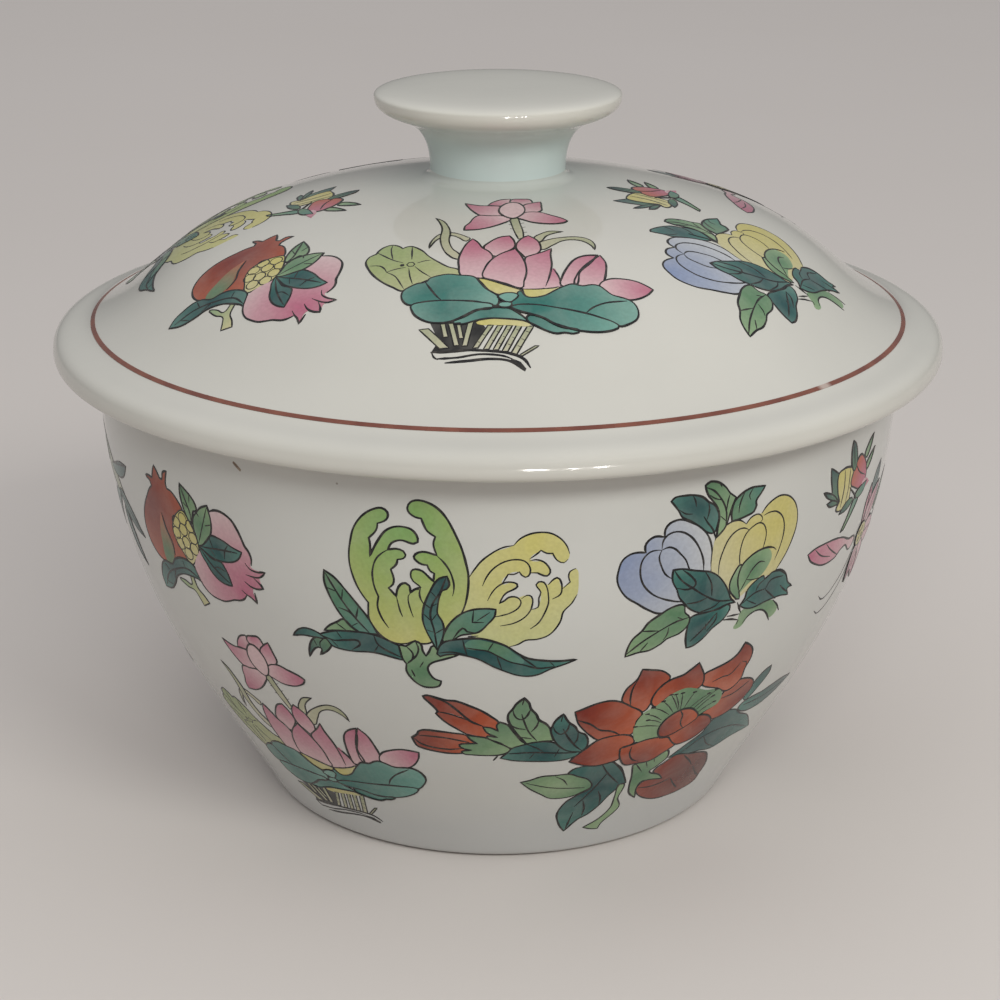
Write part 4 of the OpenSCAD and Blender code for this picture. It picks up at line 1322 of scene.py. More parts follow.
def draw_pomegranates():
    spray = Spray()

    # Red fruit, the split in its side and its seeds
    spray.patch(red_deep, red_pale, [
        (-16.8, 8.7, corner), (-15.6, 9), (-14, 8.9, corner), (-13.3, 10.9), (-12.7, 11.9, corner),
        (-11.9, 11.2), (-10.8, 9.8, corner), (-9.9, 9.8), (-9.4, 11.4), (-7.9, 12.1, corner),
        (-8.4, 10.7), (-8.7, 9.1), (-8.4, 8.2, corner), (-6.9, 8), (-5.2, 6.8), (-3.8, 5), (-2.6, 0),
        (-3, -6), (-5.8, -6.9), (-9.1, -7.6), (-10.2, -8.4), (-14.7, -10.2), (-16.6, -10.2),
        (-18.8, -9.1), (-20.5, -7.1), (-21.2, -4.1), (-20.6, -1), (-19.1, 1.8), (-17.4, 4), (-16.1, 5.7),
        (-14.7, 6.9, corner), (-15.2, 8), (-16.3, 8.3)], heart=(-16, 3))
    spray.wash(green_deep, red_pale, [
        (-12.3, 1.8, corner), (-13.6, -1.6), (-14.1, -5.4), (-14.1, -9.6), (-11.9, -10), (-10.5, -8.2),
        (-9.8, -5.4), (-10.8, -2.7), (-11.9, 0.1)], heart=(-12.6, -8))
    spray.line([(-12, 1.8), (-11.1, -1.6), (-9.7, -4.1), (-9.7, -7.1)], 0.6)
    spray.patch(yellow_deep, yellow_pale, [
        (-3.8, 4.8), (-5.8, 3.7), (-7.4, 1.8), (-8.3, -0.4), (-8, -2.4), (-7.2, -3.8), (-5.8, -5.4),
        (-4.7, -6.8), (-3.3, -7.1), (-1.9, -5.7), (-0.5, -4.1), (-0.1, -2.1), (-0.4, 0.1), (-1.1, 1.8),
        (-2.4, 3.7)], 0.42)
    for x, y in (
            (-4.1, 2.9), (-1.9, 1.8), (-6.6, 1.5), (-4.4, 0.4), (-7, -1), (-1.5, -0.7), (-4.1, -2.4),
            (-6.3, -3.2), (-1.7, -3.2), (-4, -4.9)):
        spray.dot(x, y, 1.35, 0.32)

    # Pink fruit and its crown
    spray.wash(pink_deep, white_pink, [
        (4.8, 6.8), (6.2, 7.4), (7.6, 7.6), (9.2, 7.3), (10.9, 6.4), (12.1, 4.8), (13, 2.9), (13.5, 1.5),
        (14.5, 0.1), (14.8, -1.3), (14.3, -3.2), (17.7, -3.6, corner), (16, -5.2), (16.4, -7.5, corner),
        (13.7, -8.2), (13.9, -11.4, corner), (11.7, -10.1), (10.8, -11), (9.5, -11.8), (7.6, -12.2),
        (6.2, -12.8), (4.5, -13.4), (2.8, -13.4), (0.9, -13.1), (-0.8, -12), (-1.9, -10.4), (-2.7, -8.5),
        (-2.2, -6), (0, -3), (3, 2)], heart=(12, -9))
    for edge in (
            [(4.8, 6.8), (6.2, 7.4), (7.6, 7.6), (9.2, 7.3), (10.9, 6.4), (12.1, 4.8), (13, 2.9),
             (13.5, 1.5), (14.5, 0.1), (14.8, -1.3), (14.5, -2.7)],
            [(13, -2.4), (13.9, -3.5), (15.6, -3.9), (17.7, -3.6, corner), (16.7, -4.7), (15.3, -5.2),
             (12.6, -5.1)],
            [(14.5, -5.4), (15.9, -6.6), (16.4, -7.5, corner), (15.1, -7.9), (13.4, -7.7), (11.9, -6.8)],
            [(10.5, -9.1), (11.7, -9.9), (12.8, -10.4), (13.9, -11.4, corner), (13.9, -9)],
            [(11.7, -9.9), (10.8, -11), (9.5, -11.8), (7.6, -12.2), (6.2, -12.8), (4.5, -13.4),
             (2.8, -13.4), (0.9, -13.1), (-0.8, -12), (-1.9, -10.4), (-2.7, -8.5)]):
        spray.line(edge, 0.55)

    # Twig and leaves
    spray.patch(green_pale, yellow_pale, [
        (-10.2, -12.7), (-8, -12.4), (-5.8, -12.7), (-5.5, -10.4, corner), (-4.4, -10.4, corner),
        (-3.8, -12.9), (-2.2, -14.3), (-1.1, -15.7, corner), (-3.3, -17, corner), (-4.1, -15.4),
        (-5.2, -13.9), (-7.4, -13.8), (-9.4, -13.2)], 0.4)
    spray.patch(teal_deep, teal_pale, [
        (-18.6, -17.9, corner), (-18.8, -15.4), (-18, -13.5), (-16.6, -11.3), (-14.7, -10.2),
        (-11.9, -9.9), (-10.2, -8.2), (-8, -7.1), (-5.2, -6.8), (-3.3, -7.4), (-2.4, -9.1),
        (-1.8, -10.7, corner), (-2.7, -10.3), (-5.2, -10.4), (-7.4, -10.7), (-9.7, -11.6),
        (-11.3, -12.7), (-13, -14.9), (-15.5, -17.1)], heart=(-11, -11))
    for vein in (
            [(-17.6, -17), (-14.8, -13.2), (-10.6, -10.6), (-6, -9), (-2.2, -10)],
            [(-15.4, -11), (-13.6, -12.2)], [(-10.8, -10.6), (-12.2, -13.2)], [(-7, -7.4), (-6.6, -9)],
            [(-16.4, -15.8), (-14.2, -15.6)]):
        spray.line(vein, 0.55)
    spray.patch(green_deep, green_pale, [
        (-3.6, 10.7, corner), (-1.9, 9.8), (-0.2, 8.7), (0.9, 7.3), (1, 5.9), (0, 5.7), (-0.8, 3.7),
        (-1.6, 2.9), (-2.7, 4.3), (-3.4, 6.2), (-3.8, 8.4)])
    for vein in (
            [(-3.5, 10.4), (-2.2, 7.4), (-1.2, 5), (-1.2, 3.2)], [(-0.8, 9), (-1, 7.3)],
            [(-3.1, 6.8), (-1.5, 5.9)]):
        spray.line(vein, 0.55)
    spray.patch(teal_deep, teal_pale, [
        (8.1, -8.8, corner), (7.6, -6.3), (7, -4.9), (6.2, -3.9), (3.7, -3.8), (2, -2.9),
        (0.1, -2, corner), (0.6, -3.8), (1.7, -5.4), (2.8, -7.1), (4.5, -8.4), (6.4, -8.9)],
        heart=(5, -7))
    spray.line([(0.5, -2.4), (2.9, -5), (4.9, -6.6), (7.6, -8.3)])
    spray.line([(3.9, -5.8), (4.9, -5.3), (7, -5.8)])
    spray.patch(teal_deep, teal_pale, [
        (12.6, -0.2, corner), (10.1, 0.4), (8.1, 1.2), (6.2, 1.6), (4.5, 1.6), (3.4, 0.7), (1.4, -1.3),
        (0.1, -1.8, corner), (2, -2.7), (3.7, -3.4), (6.2, -3.6), (8.1, -3.4), (10.3, -2.7), (11.7, -1.6)],
        heart=(6, -1))
    for vein in (
            [(0.6, -1.8), (3, -1.5), (6.4, -1), (11.4, -0.6)], [(3.9, 1), (4.6, -1.2)],
            [(7.5, -2.8), (7.9, -1), (9, 0.5)], [(3.6, -1.5), (4.8, -2.9)]):
        spray.line(vein, 0.55)
    spray.patch(green_deep, green_pale, [
        (4.5, 8, corner), (5.1, 5.7), (5.1, 3.7), (4.5, 1.8), (3.1, 0.1), (1.4, -1.3),
        (0.1, -1.7, corner), (-0.1, 0.1), (-0.6, 2.1), (-0.2, 4.3), (1.2, 5.9), (2.5, 7.1)],
        heart=(1.5, 3))
    spray.line([(3.2, 3.4), (4.9, 4)], 0.55)
    spray.line([(4.4, 7.6), (2.6, 3.6), (0.3, -1.2)], 0.36)
    spray.line([(0.8, 6.2), (1.6, 5)], 0.8)
    return spray


pomegranates = draw_pomegranates()
lay_spray("pomegranates_bowl_left", pomegranates, "bowl", -44.6, 81)
lay_spray("pomegranates_lid_left", pomegranates, "lid", -45.35, 31.85, 5)


# Peony.
# A wide open red peony with stamens over a green heart, a pair of red buds on the left, a darker one
# below, and leaves.
ember_deep, ember_pale = srgb(112, 30, 18), srgb(180, 88, 54)
bud_deep, bud_pale = srgb(84, 26, 16), srgb(136, 52, 34)


def draw_peony():
    spray = Spray()

    # Leaves that lie behind the flower
    spray.patch(teal_deep, teal_pale, [
        (17.2, -11.4, corner), (20.8, -8.8), (24.6, -6.5), (26, -3.8), (29, -2.6), (32.6, -3.9),
        (34.7, -6.7), (38.5, -10.5), (42, -17.8, corner), (35.2, -15.6), (29.3, -15.6), (25.4, -13.8),
        (21.4, -12.8)], 0.4, heart=(26, -9))
    spray.line([(20, -11.4), (26, -8.4), (33, -10), (40.4, -16.4)], 0.4)
    spray.line([(25.4, -8.6), (27.2, -12.4), (29.8, -15.2)], 0.4)
    spray.patch(teal_deep, teal_pale, [
        (40.6, 4.9, corner), (40.6, 2.6), (38.1, -0.4), (35.3, -2.5), (34.2, -1), (35.2, 0.4),
        (36.5, 3.2), (38.4, 4.6)], 0.4)
    spray.patch(teal_deep, teal_pale, [
        (52.4, -7.9, corner), (48, -5.4), (44, -4.3), (41, -3.9), (37.3, -3), (34.4, -3), (33.6, -4.6),
        (36.4, -7.3), (39.5, -8.6), (43, -9.2), (48, -9)], 0.45, heart=(49, -7.4))
    spray.line([(35, -4.2), (42, -6.4), (50, -7.8)], 0.36)
    spray.patch(teal_deep, teal_pale, [
        (-4.2, -8), (0, -7.4), (3.1, -7.2), (5.2, -9.5), (6.9, -12.6), (8.3, -16.5, corner),
        (6.9, -16.6), (6.5, -18), (5, -20.3), (3.5, -23.4), (1.5, -26.1), (-0.4, -27.6),
        (-2.7, -31.5, corner), (-4.2, -28.8), (-5.3, -24.5), (-4.2, -20.3), (-2.3, -18.2), (0.4, -15.7),
        (-0.8, -12.6), (-3.1, -11.1), (-5.4, -10.1)], heart=(2, -16))
    for vein in (
            [(1.3, -7.6), (3.1, -11.1), (6.5, -16.1)], [(3.7, -7.6), (6.2, -10.7), (8, -15.8)],
            [(2.3, -17.6), (3.3, -20.3), (3.5, -23)], [(-0.5, -20.3), (0.3, -23.4), (0.3, -26.5)],
            [(-1.9, -24.5), (-2.5, -30.6)], [(3.2, -11), (1.2, -16), (-2, -22.4)]):
        spray.line(vein)
    spray.patch(green_pale, green_deep, [
        (-14.9, -12.4, corner), (-13.1, -11.6), (-10.9, -10.3), (-8.3, -10.05), (-5.2, -9.9),
        (-3.1, -11.1), (-0.8, -12.6), (0.4, -15.3), (-1.2, -16.8), (-3.8, -18.3), (-7.7, -18.4),
        (-10, -16.8), (-12.8, -14.6)], 0.42, heart=(-8, -14))
    spray.line([(-8.1, -10.4), (-6.2, -11.8), (-5, -13.8)])
    spray.line([(-13.8, -12.6), (-8.4, -14.4), (-1, -15.4)], 0.36)

    # Stalks under the flower
    spray.patch(green_pale, green_pale, [
        (6.5, -16.6, corner), (6.7, -22.2), (6.5, -25.3), (4.6, -28.6), (1.5, -31.1, corner),
        (3.4, -32.2), (5, -32.6, corner), (5.6, -30.4), (7.7, -27.6), (8.6, -25.3), (7.6, -22),
        (8.1, -17)], 0.4)
    spray.patch(green_deep, green_pale, [
        (8.6, -10.4, corner), (11.5, -9.4), (15.4, -7.6), (16.9, -10.7), (14.6, -13.4), (13.3, -14.6),
        (16.2, -17.2), (17.7, -19.5, corner), (14.6, -18.8), (12.3, -17.6), (11.5, -19.9),
        (11.9, -23.8, corner), (10, -21.1), (9.4, -18), (9.2, -14.5)], heart=(11, -15))
    spray.line([(9.4, -10.3), (11.3, -13.6)])
    spray.line([(11.6, -10), (12.4, -12.6)], 0.4)
    spray.line([(13.2, -9.4), (13.8, -11.2)], 0.4)

    # Bud below on the right
    spray.patch(bud_deep, bud_pale, [
        (14.4, -14.9), (16.9, -12.6), (19.2, -11.5), (23.1, -13.4), (26.2, -14.9), (28.5, -16.8),
        (29.6, -19.5), (30, -22.6), (29.2, -25.7), (28.3, -28), (24.6, -28.4), (20.8, -28),
        (16.9, -26.8), (13.5, -24.2), (11.7, -21.5), (11.6, -19.2), (13.1, -17.8), (17.5, -19.3, corner),
        (16.2, -17)], 0.45, heart=(27, -21))
    for vein in (
            [(21.5, -13), (23.8, -16.5), (25, -18.8)], [(25.8, -19.9), (27.3, -23.4), (29.2, -26.5)],
            [(20, -20.7), (21.5, -23.8), (23.1, -26.5)], [(11.8, -20), (15.5, -21), (20, -20.7)]):
        spray.line(vein)

    # Petals, from the back ones to the front ones
    for petal in (
            [(34.4, -0.4), (32.3, -2), (29, -3.1), (25.4, -2.6), (22.3, 0.6), (25.8, 2.4), (26.4, 4.5),
             (28.4, 6.4), (30.6, 6.9), (33.4, 5.8), (35.5, 3.7), (35.7, 1.4)],
            [(29.6, 18.2, corner), (31.3, 16.6), (32.3, 14.7), (32.3, 12.4), (31.3, 10.1), (30.8, 7),
             (27.7, 5.4), (24.6, 7.8), (21.5, 9.7), (20.2, 11), (20.2, 13.7), (22.7, 14.3), (25.8, 14.7),
             (28.1, 15.8)],
            [(5.4, 19.9, corner), (7.3, 19.3), (9.6, 18.5), (11.2, 17.2), (12, 15.7), (10.4, 14.3),
             (9.2, 12), (8.8, 9.9), (7.3, 7.6), (4.2, 10.1), (2.3, 11.8), (2.2, 13.5), (2.9, 15.5),
             (4.6, 17.4)],
            [(18.3, 17.8, corner), (19.4, 15.5), (20.2, 13.5), (20.2, 11), (18.5, 10), (15, 11),
             (12.3, 10.4), (10.2, 8.4), (8.8, 9.9), (9.2, 12.4), (10.4, 14.1), (12.3, 15.3), (15, 15.7),
             (16.9, 16.8)],
            [(-7.2, 10.2, corner), (-5.8, 10.8), (-3.1, 12.1), (-0.4, 12.5), (1.9, 11.8), (4.2, 10.1),
             (7.3, 7.2), (6.4, 5.1), (6.5, 2), (5.4, 0.9), (2.7, 1.5), (-0.8, 0.9), (-3.1, 2.8),
             (-5, 5.1), (-6.2, 7)],
            [(-6, -5.5, corner), (-5.4, -4.2), (-3.5, -1.8), (-0.8, 1), (2.7, 1.6), (5.4, 1),
             (6.9, -0.7), (6.9, -2.2), (4.4, -3), (4.8, -6.5), (2.7, -7.4), (0, -7.8), (-3.1, -7)]):
        spray.patch(ember_deep, ember_pale, petal)
    for fold in (
            [(-6.4, 7.8), (-3.5, 6.2), (-1.2, 4.1), (1.2, 3.3), (3.5, 1.6)],
            [(4.9, 17.6), (4, 15.1), (3.9, 12.4), (4.3, 10.1)], [(30, 12.8), (31.2, 12), (31.5, 10.6)],
            [(22.7, 10.5), (25.4, 10.8), (27.3, 10.5), (29.6, 12.7)],
            [(26.8, 3.4), (30.2, 3.2), (34, 4.6)]):
        spray.line(fold)

    # Stamens, then the petals and the heart in front of them
    spray.wash(green_deep, green_pale, [
        (6.9, -0.7), (6.2, 2.8), (7.3, 6.6), (10, 8.5), (11.5, 9.7), (13.1, 11), (16.2, 11.6),
        (18.8, 10.5), (21.9, 8.5), (25.4, 7), (26.5, 4.7), (25.8, 2.4), (22.7, 1.6), (19, 0),
        (13.2, -1.8), (10, -2.4), (7.7, -1.8)], heart=(20, 6))
    for x, y, root_x, root_y in (
            (8.5, 6.6, 12.2, 3.6), (9.6, 8.2, 13.8, 4.6), (9, 4.6, 12.2, 2.8), (6.5, 3.3, 12, 1.8),
            (11.6, 9.4, 14.6, 5), (13.1, 10.8, 15.6, 5.4), (14.2, 10.5, 15.9, 5.4),
            (15.8, 10.3, 16.2, 5.4), (18.8, 9.4, 17, 5.3), (22.7, 7.2, 18.6, 4.9),
            (24.6, 7.4, 19.6, 4.2), (24, 5.8, 20.4, 3.4), (24.8, 3.6, 21, 2.2)):
        spray.line([(x, y), ((x + root_x) / 2, (y + root_y) / 2 + 0.3), (root_x, root_y)], 0.34)
        spray.line([(x - 0.5, y + 0.1), (x + 0.5, y)], 1.25)
    for petal in (
            [(9, -9.6), (12.3, -9.9), (15, -8.4), (17.7, -6.5), (16.9, -4.9), (15.2, -3), (13.1, -2.2),
             (10, -1.8), (6.9, -2.4), (4.4, -3, corner), (4.6, -5.3), (5.4, -7.6), (6.5, -9.2)],
            [(25.6, -3.8), (24.2, -5.3), (22.3, -6.5), (20, -7), (17.7, -6.7), (16.2, -4.9),
             (15.2, -3, corner), (13.1, -2.2), (18.1, -0.9), (21.3, 0.8), (23.5, 0.1), (25.2, -1.8)],
            [(12.1, 0.8), (12.7, 2.8), (14.2, 4.3), (16.2, 5.1), (18.5, 4.7), (20.2, 3.2), (21.3, 0.8),
             (19.6, -0.7), (17.7, -1.5), (15, -2.4), (13.1, -2), (12.3, -0.9)]):
        spray.patch(ember_deep, ember_pale, petal)
    for fold in (
            [(6.9, -3), (6.8, -5.3), (7.7, -7.6), (9.4, -9)],
            [(16.2, 5.1), (17.1, 3.2), (17.1, 0.8), (18.1, -1.3)], [(13.4, -2), (15.4, -3.4)]):
        spray.line(fold)

    # Pair of buds on the left, with their green cups
    for bud, cup in (
            ([(-37.4, 10.9, corner), (-36.5, 11.4), (-34.6, 11.3), (-32.8, 11.1, corner), (-30.7, 11.3),
              (-28.3, 10.6), (-25.9, 9.7), (-23.6, 8.2), (-22.1, 6.9), (-21.6, 4), (-22.4, 2.1),
              (-27.3, 2.1), (-30.2, 3.5), (-32.5, 4.9), (-34.4, 6.7, corner), (-34.1, 7.4), (-35.7, 9.2),
              (-37, 10.3)],
             [(-21.7, 6.9, corner), (-20.2, 6.3), (-19.4, 5.2), (-18.3, 3.6), (-16.7, 1.5), (-15.7, 0.5),
              (-17, -0.3), (-18.6, -0.8), (-21, 0.6), (-23.8, 2.1), (-21.7, 2.3, corner), (-23.9, 3.4),
              (-24.9, 5, corner), (-23.4, 5), (-21.8, 4.2, corner), (-22.3, 6)]),
            ([(-38.3, -2.3, corner), (-37.4, -0.8), (-37.3, 0.1), (-36.2, 1), (-33.3, 1.5), (-30.2, 1.8),
              (-27.8, 1.8), (-25.6, 0), (-26, -3), (-27.5, -4), (-30.2, -4.8), (-33, -5.05),
              (-36.7, -4.8), (-37.5, -4)],
             [(-27.8, 1.8, corner), (-24.1, 1.8), (-21.7, 0.7), (-19.4, -0.4), (-18.3, -1.6, corner),
              (-20.4, -3.2), (-23.6, -3.9), (-27.3, -4.3, corner), (-28.1, -3.6), (-26.2, -2.7, corner),
              (-28.2, -2.4), (-28.8, -1.5), (-27.4, -0.8), (-25.4, -0.3, corner), (-26.8, 0.6)])):
        spray.patch(ember_deep, ember_pale, bud, 0.6)
        spray.patch(green_deep, green_pale, cup, 0.55)
    for fold in (
            [(-36.5, 11.4), (-33.1, 10.7), (-30.9, 9.2), (-28.3, 6.9), (-27.3, 6.1), (-24.9, 5.2)],
            [(-34.1, 7.4), (-32, 7.4), (-29.6, 6.9), (-27.8, 6.3)],
            [(-37.1, -1.1), (-35.2, -0.6), (-31.5, -0.1), (-27, -0.3)],
            [(-37.8, -2.4), (-36.5, -3.5), (-34.1, -3.9), (-30.9, -3.6), (-28.3, -2.7)]):
        spray.line(fold, 0.6)

    # Leaves between the buds and the flower
    spray.patch(green_deep, green_pale, [
        (-17.8, 14.2, corner), (-19.1, 12.6), (-19.7, 11), (-20.4, 9.4), (-20.2, 7.6), (-19.4, 6),
        (-18.3, 4.2), (-16.2, 1.3), (-15.4, 0.2, corner), (-13.1, 1.5), (-10.4, 1.8, corner),
        (-11.2, 4.2), (-11.7, 5.7), (-12.8, 7.1), (-14.2, 8.1), (-14.9, 9.7), (-16.2, 11.3),
        (-16.7, 12.8)], 0.6, heart=(-17, 11))
    spray.patch(teal_deep, teal_pale, [
        (-20.2, -4.3, corner), (-19.1, -2.4), (-18.3, -0.8), (-16.7, 0.2), (-14.1, 1.3), (-11.7, 1.5),
        (-10, 1), (-8.8, -0.3), (-7, -1.6), (-4.4, -2.2), (-5.7, -4), (-8.3, -4.8), (-13.1, -4.9),
        (-17.5, -4.8)], 0.45, heart=(-12, -2))
    spray.patch(teal_deep, teal_pale, [
        (-9.5, 9.7, corner), (-10.7, 8.1), (-11.2, 6.5), (-11.3, 4.7), (-10.4, 2.3), (-9.1, 0.2),
        (-7, -1.6), (-4.2, -2.3, corner), (-3.2, -0.8), (-3.3, 1.3), (-4.1, 3.1), (-5.7, 4.2),
        (-6.5, 5.7), (-8.1, 7.3)], 0.55, heart=(-7, 3))
    for vein in (
            [(-19.7, 11), (-19.4, 9.7), (-18.6, 8.4), (-17.5, 8.1), (-16.7, 9.2), (-16.2, 11.3)],
            [(-17.8, 9.7), (-17.1, 7.6), (-15.7, 4.4), (-13.8, 1.8)],
            [(-19.8, 6.5), (-18.3, 5.5), (-16.5, 5.2)], [(-14.2, 8.1), (-14.4, 6.3), (-15.3, 4.4)],
            [(-17.8, 14), (-18, 12.3)], [(-17.2, 2.8), (-14.9, 2.4)],
            [(-9, 5.5), (-7.8, 3.1), (-5.7, -0.1), (-3.9, -2)],
            [(-11.1, 6.3), (-10.4, 4.7), (-9.1, 3.8), (-8.1, 4.9), (-7.9, 7.1)],
            [(-9.6, 9.2), (-9.7, 7.6)], [(-5.7, 4.2), (-5.6, 1.8), (-6.2, 0.2)],
            [(-18.8, -2.6), (-14, -1.9), (-9, -2.2), (-5, -2.4)],
            [(-15.7, 0.7), (-13.6, -0.4), (-12, -1.6)], [(-13.7, -2.2), (-14.4, -3.9)],
            [(-8.8, -0.8), (-9.4, -3.4)]):
        spray.line(vein, 0.55)
    spray.line([(-20.8, -3.6), (-21.5, -5.4)], 0.8)
    return spray


peony = draw_peony()
lay_spray("peony_bowl_right", peony, "bowl", 17, 38)


# Blossoms, sprigs and foliage.
# A pink blossom with long tendrils and a yellow heart, the small sprig of one bud and spiky leaves
# that fills the gaps between the larger prints, and the loose leaves on the bowl's left.
def draw_blossom():
    spray = Spray()
    for tendril in (
            [(-7.3, -8.5), (-4.6, -10.2), (-1.5, -9.6), (2.5, -6.5), (5.4, -1.5)],
            [(-6.5, -12.5), (-3.8, -14), (0, -12.8), (4, -8.6), (6.2, -2.4)]):
        spray.line(tendril, 0.4)
    spray.patch(green_deep, green_pale, [
        (28, 9, corner), (25, 10.2), (21.6, 9.4), (18.6, 6.6), (17, 3.4), (21, 4.2), (25, 6.2)])
    spray.patch(teal_deep, teal_pale, [
        (30, -3.6, corner), (27, -1), (23, 0.6), (18.6, 0.4), (19.8, -3), (23.4, -5), (27, -5)])
    spray.patch(teal_deep, teal_pale, [
        (14, 16, corner), (11, 14.4), (9.4, 11.4), (10, 7.6), (12.8, 9.4), (14.4, 12.6)])
    for vein in (
            [(27.4, 8.8), (22.6, 6.8), (18, 3.8)], [(29, -3.4), (24.4, -2), (19.4, -0.6)],
            [(13.8, 15.2), (11.8, 11.6), (10.4, 8.2)], [(24.6, 10), (23.6, 7.2)],
            [(25.6, -0.4), (25.2, -2.4)]):
        spray.line(vein)
    for petal in (
            [(-17.9, 4.4, corner), (-15.4, 5.2), (-10.4, 5.3), (-6.9, 5), (-3.5, 4.2), (0, 2.7),
             (3.8, 1.8), (2, -0.4), (-1.2, 1.7), (-3.8, 1.2), (-5.4, 0.2), (-8.8, -0.1), (-11.5, 0.3),
             (-13.8, 1.2), (-16.2, 2.5)],
            [(8.8, 12.4, corner), (6.8, 9.2), (6.5, 6), (7.2, 3.2), (9, 2.4), (10.4, 5.6), (10.2, 9.4)],
            [(16.4, 10.6, corner), (12.6, 10.2), (9.2, 8), (7.6, 4.8), (8.6, 2), (12.2, 3.2), (15, 6.4)],
            [(20.4, -1.4, corner), (17.4, 1.8), (13.6, 3), (9.6, 2), (9.4, -1), (12.6, -3), (16.6, -3)],
            [(14.6, -12.4, corner), (15.4, -8), (13.8, -4), (10.4, -1), (7.4, -1.4), (7.6, -5),
             (10.4, -9)],
            [(7.6, -10.6, corner), (6.2, -7), (5.8, -3.4), (7, -0.6), (8.6, -1), (9.4, -4), (9, -7.6)]):
        spray.patch(pink_deep, pink_pale, petal)
    for fold in (
            [(-15.6, 5), (-12.3, 2.7), (-8.1, 1.3)], [(-11.2, 5), (-8.8, 3.1), (-4.6, 0.6)],
            [(8.7, 11), (8.2, 7), (8.2, 3.6)], [(15.2, 9.8), (11.6, 6.4), (9.2, 3.4)],
            [(19, -1), (14.4, 0), (10.4, 0.4)], [(13.8, -10.8), (11.6, -6), (9, -2.6)],
            [(7.5, -9), (7.4, -5), (7.6, -2)]):
        spray.line(fold, 0.4)
    spray.patch(yellow_deep, yellow_pale, [
        (5.2, 1.2), (6.6, 3.6), (9.2, 3.6), (10.6, 1.2), (9.2, -1.2), (6.6, -1.2)], 0.42)
    for x, y in ((6.8, 1.8), (8.2, 2.4), (8.8, 0.6), (7.2, 0)):
        spray.dot(x, y, 0.5, 0.36)
    return spray


def draw_sprig():
    spray = Spray()
    for leaf in (
            [(-8.5, 4.5, corner), (-6.3, 3.2), (-4.8, 2), (-4.6, -0.7), (-3.5, -4.3, corner), (-6.3, -3),
             (-7.3, 0), (-8, 2)],
            [(-10.2, -0.3, corner), (-8, -1), (-6, -2), (-3.7, -4, corner), (-8.3, -2)],
            [(-8.5, -3.2, corner), (-6, -3), (-3.6, -4.4, corner), (-7, -4.2)]):
        spray.patch(teal_deep, green_deep, leaf)
    spray.patch(yellow_deep, yellow_pale, [
        (-5.3, 2.3), (-3.3, 3), (-1, 2.8), (1.3, 1.7), (1, -2.7), (0.7, -5.3), (-2, -6.3), (-4.3, -5.7),
        (-3.4, -4, corner), (-4.8, -1.3)])
    spray.patch(pink_deep, red_pale, [
        (8.3, -2.3), (5.7, -3.7), (2.7, -2.7), (0.7, -1.3), (1.2, 1), (2.2, 2.7), (4, 4), (6, 3),
        (8, 0.3)])
    spray.wash(pink_deep, pink_pale, [(11.3, -4, corner), (8.3, -2.3), (6.6, -3.6), (8.6, -4.6)])
    spray.patch(teal_deep, green_deep, [
        (-0.2, 8.2, corner), (1, 7.2), (2, 5), (2.3, 3.3), (1.7, 1.3), (0.2, 2.7), (-0.5, 5.3), (-0.5, 7)])
    spray.patch(green_deep, green_pale, [
        (10.7, 6.7, corner), (8.4, 5.6), (6.4, 3.4), (7.6, 2.4), (9.6, 4.4)])
    spray.patch(green_deep, green_pale, [
        (12.3, 3.3, corner), (10.2, 2.4), (8, 0.8), (8.6, -0.6), (10.8, 1)])
    spray.patch(teal_pale, green_pale, [
        (5.4, -3.4, corner), (6, -5.8), (4.2, -8.4), (1.2, -11.8, corner), (0, -12, corner), (2, -8.6),
        (3.2, -6.2)], 0.36)
    spray.patch(teal_pale, green_deep, [
        (9.4, -3.2, corner), (8, -5.2), (5.8, -5.8), (3.8, -5), (6, -3.6)], 0.36)
    spray.patch(teal_deep, green_deep, [
        (-2.6, -7.2, corner), (0.4, -7), (2.8, -5.4), (1.2, -4.8), (-1, -5.6)], 0.36)
    for stroke in (
            [(0.3, -2), (3.4, -4.4), (4.6, -5.6)], [(-2.8, 2.6), (-2.2, -1), (-2.6, -5.6)],
            [(-0.4, 2.4), (-0.2, -1.6), (-0.6, -5.4)], [(2.2, 2.4), (4.4, 0.2), (7.6, -1.4)],
            [(0, 7.6), (0.8, 4.6), (1.6, 1.8)]):
        spray.line(stroke, 0.42)
    return spray


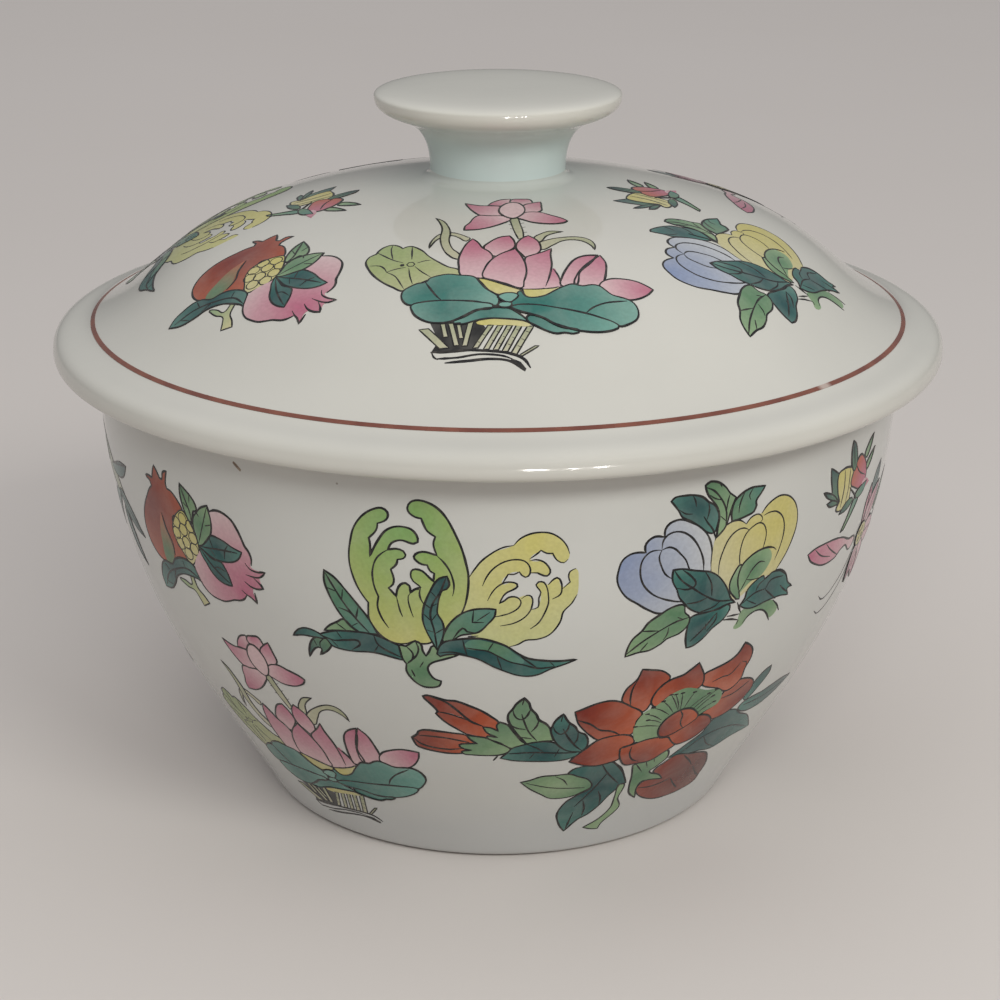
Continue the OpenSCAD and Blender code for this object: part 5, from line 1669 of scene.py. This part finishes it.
def draw_foliage():
    spray = Spray()
    spray.patch(green_deep, cane_pale, [
        (-14, 12, corner), (-6, 11.6), (2, 8), (8, 3.4), (13.6, -3.4), (11.6, -4.2), (5.6, 0.4),
        (-1, 3.6), (-9, 8)], 0.4)
    for leaf in (
            [(16, 9, corner), (11, 8.6), (5, 6.6), (2.6, 5.6), (8, 4.6), (13, 6)],
            [(19, -6, corner), (13, -0.6), (6.6, 1.4), (9, -2), (14, -5)],
            [(14, -14, corner), (11.6, -7.6), (8.6, -2), (7.4, -6), (9.6, -11)],
            [(-2, -10, corner), (3, -4), (5.6, 0.4), (0.6, -0.6), (-2.4, -5)],
            [(-18, 2, corner), (-10, 3.4), (-3, 6), (-9, 8), (-14.6, 5.6)]):
        spray.patch(teal_deep, teal_pale, leaf, 0.45)
        spray.line([leaf[0][:2], leaf[2]], 0.36)
    return spray


# Sprays, where they are laid.
# Seven prints ring the lid, ten the bowl's upper wall and six its foot, with sprigs in between.
# Most of the ones in sight are laid above, after each design. These carry the designs on round the
# right, the back and the far left.
blossom = draw_blossom()
sprig = draw_sprig()
foliage = draw_foliage()
gourds = draw_melons(green_deep, green_pale, citron_deep, citron_pale)
for place, sheet, azimuth, along, turn in (
        ("right", blossom, 106, 38, 0), ("back_right", peony, 163, 32, 0),
        ("back_left", gourds, -149, 32, -5)):
    lay_spray(f"{place}_lid_print", sheet, "lid", azimuth, along, turn, 0.8 if sheet is peony else 1)
for place, sheet, azimuth in (
        ("right", blossom, 60), ("far_right", gourds, 102), ("back_right", pomegranates, 139),
        ("back", citrons, 176), ("back_left", melons, -148), ("far_left_back", blossom, -120),
        ("far_left", foliage, -74)):
    lay_spray(f"{place}_upper_print", sheet, "bowl", azimuth, 70.8 if sheet is blossom else 79)
for place, sheet, azimuth in (
        ("right", lotus, 94), ("back_right", peony, 150), ("back", lotus, -159),
        ("back_left", peony, -106)):
    lay_spray(f"{place}_foot_print", sheet, "bowl", azimuth, 38 if sheet is peony else 26, 0, 0.9)
for place, body, azimuth, along in (
        ("lid_left", "lid", -77.6, 55), ("lid_right", "lid", 72.1, 60.8), ("lid_back", "lid", 180, 58),
        ("bowl_right", "bowl", 55.9, 89)):
    lay_spray(f"{place}_sprig", sprig, body, azimuth, along)


# Brown fleck.
# A spot of iron in the glaze, 2 mm long, just under the lid's rim on the left. It has fired brown.
fleck_deep, fleck_pale = srgb(120, 100, 84), srgb(150, 134, 118)

flaw = Spray()
flaw.wash(fleck_deep, fleck_pale, [(-0.9, 0.8), (1, -0.6), (0.8, -1), (-1.1, 0.4)])
flaw.line([(-0.8, 0.5), (0.2, -0.2)], 0.12)
lay_spray("brown_fleck", flaw, "bowl", -35.4, 99.4)
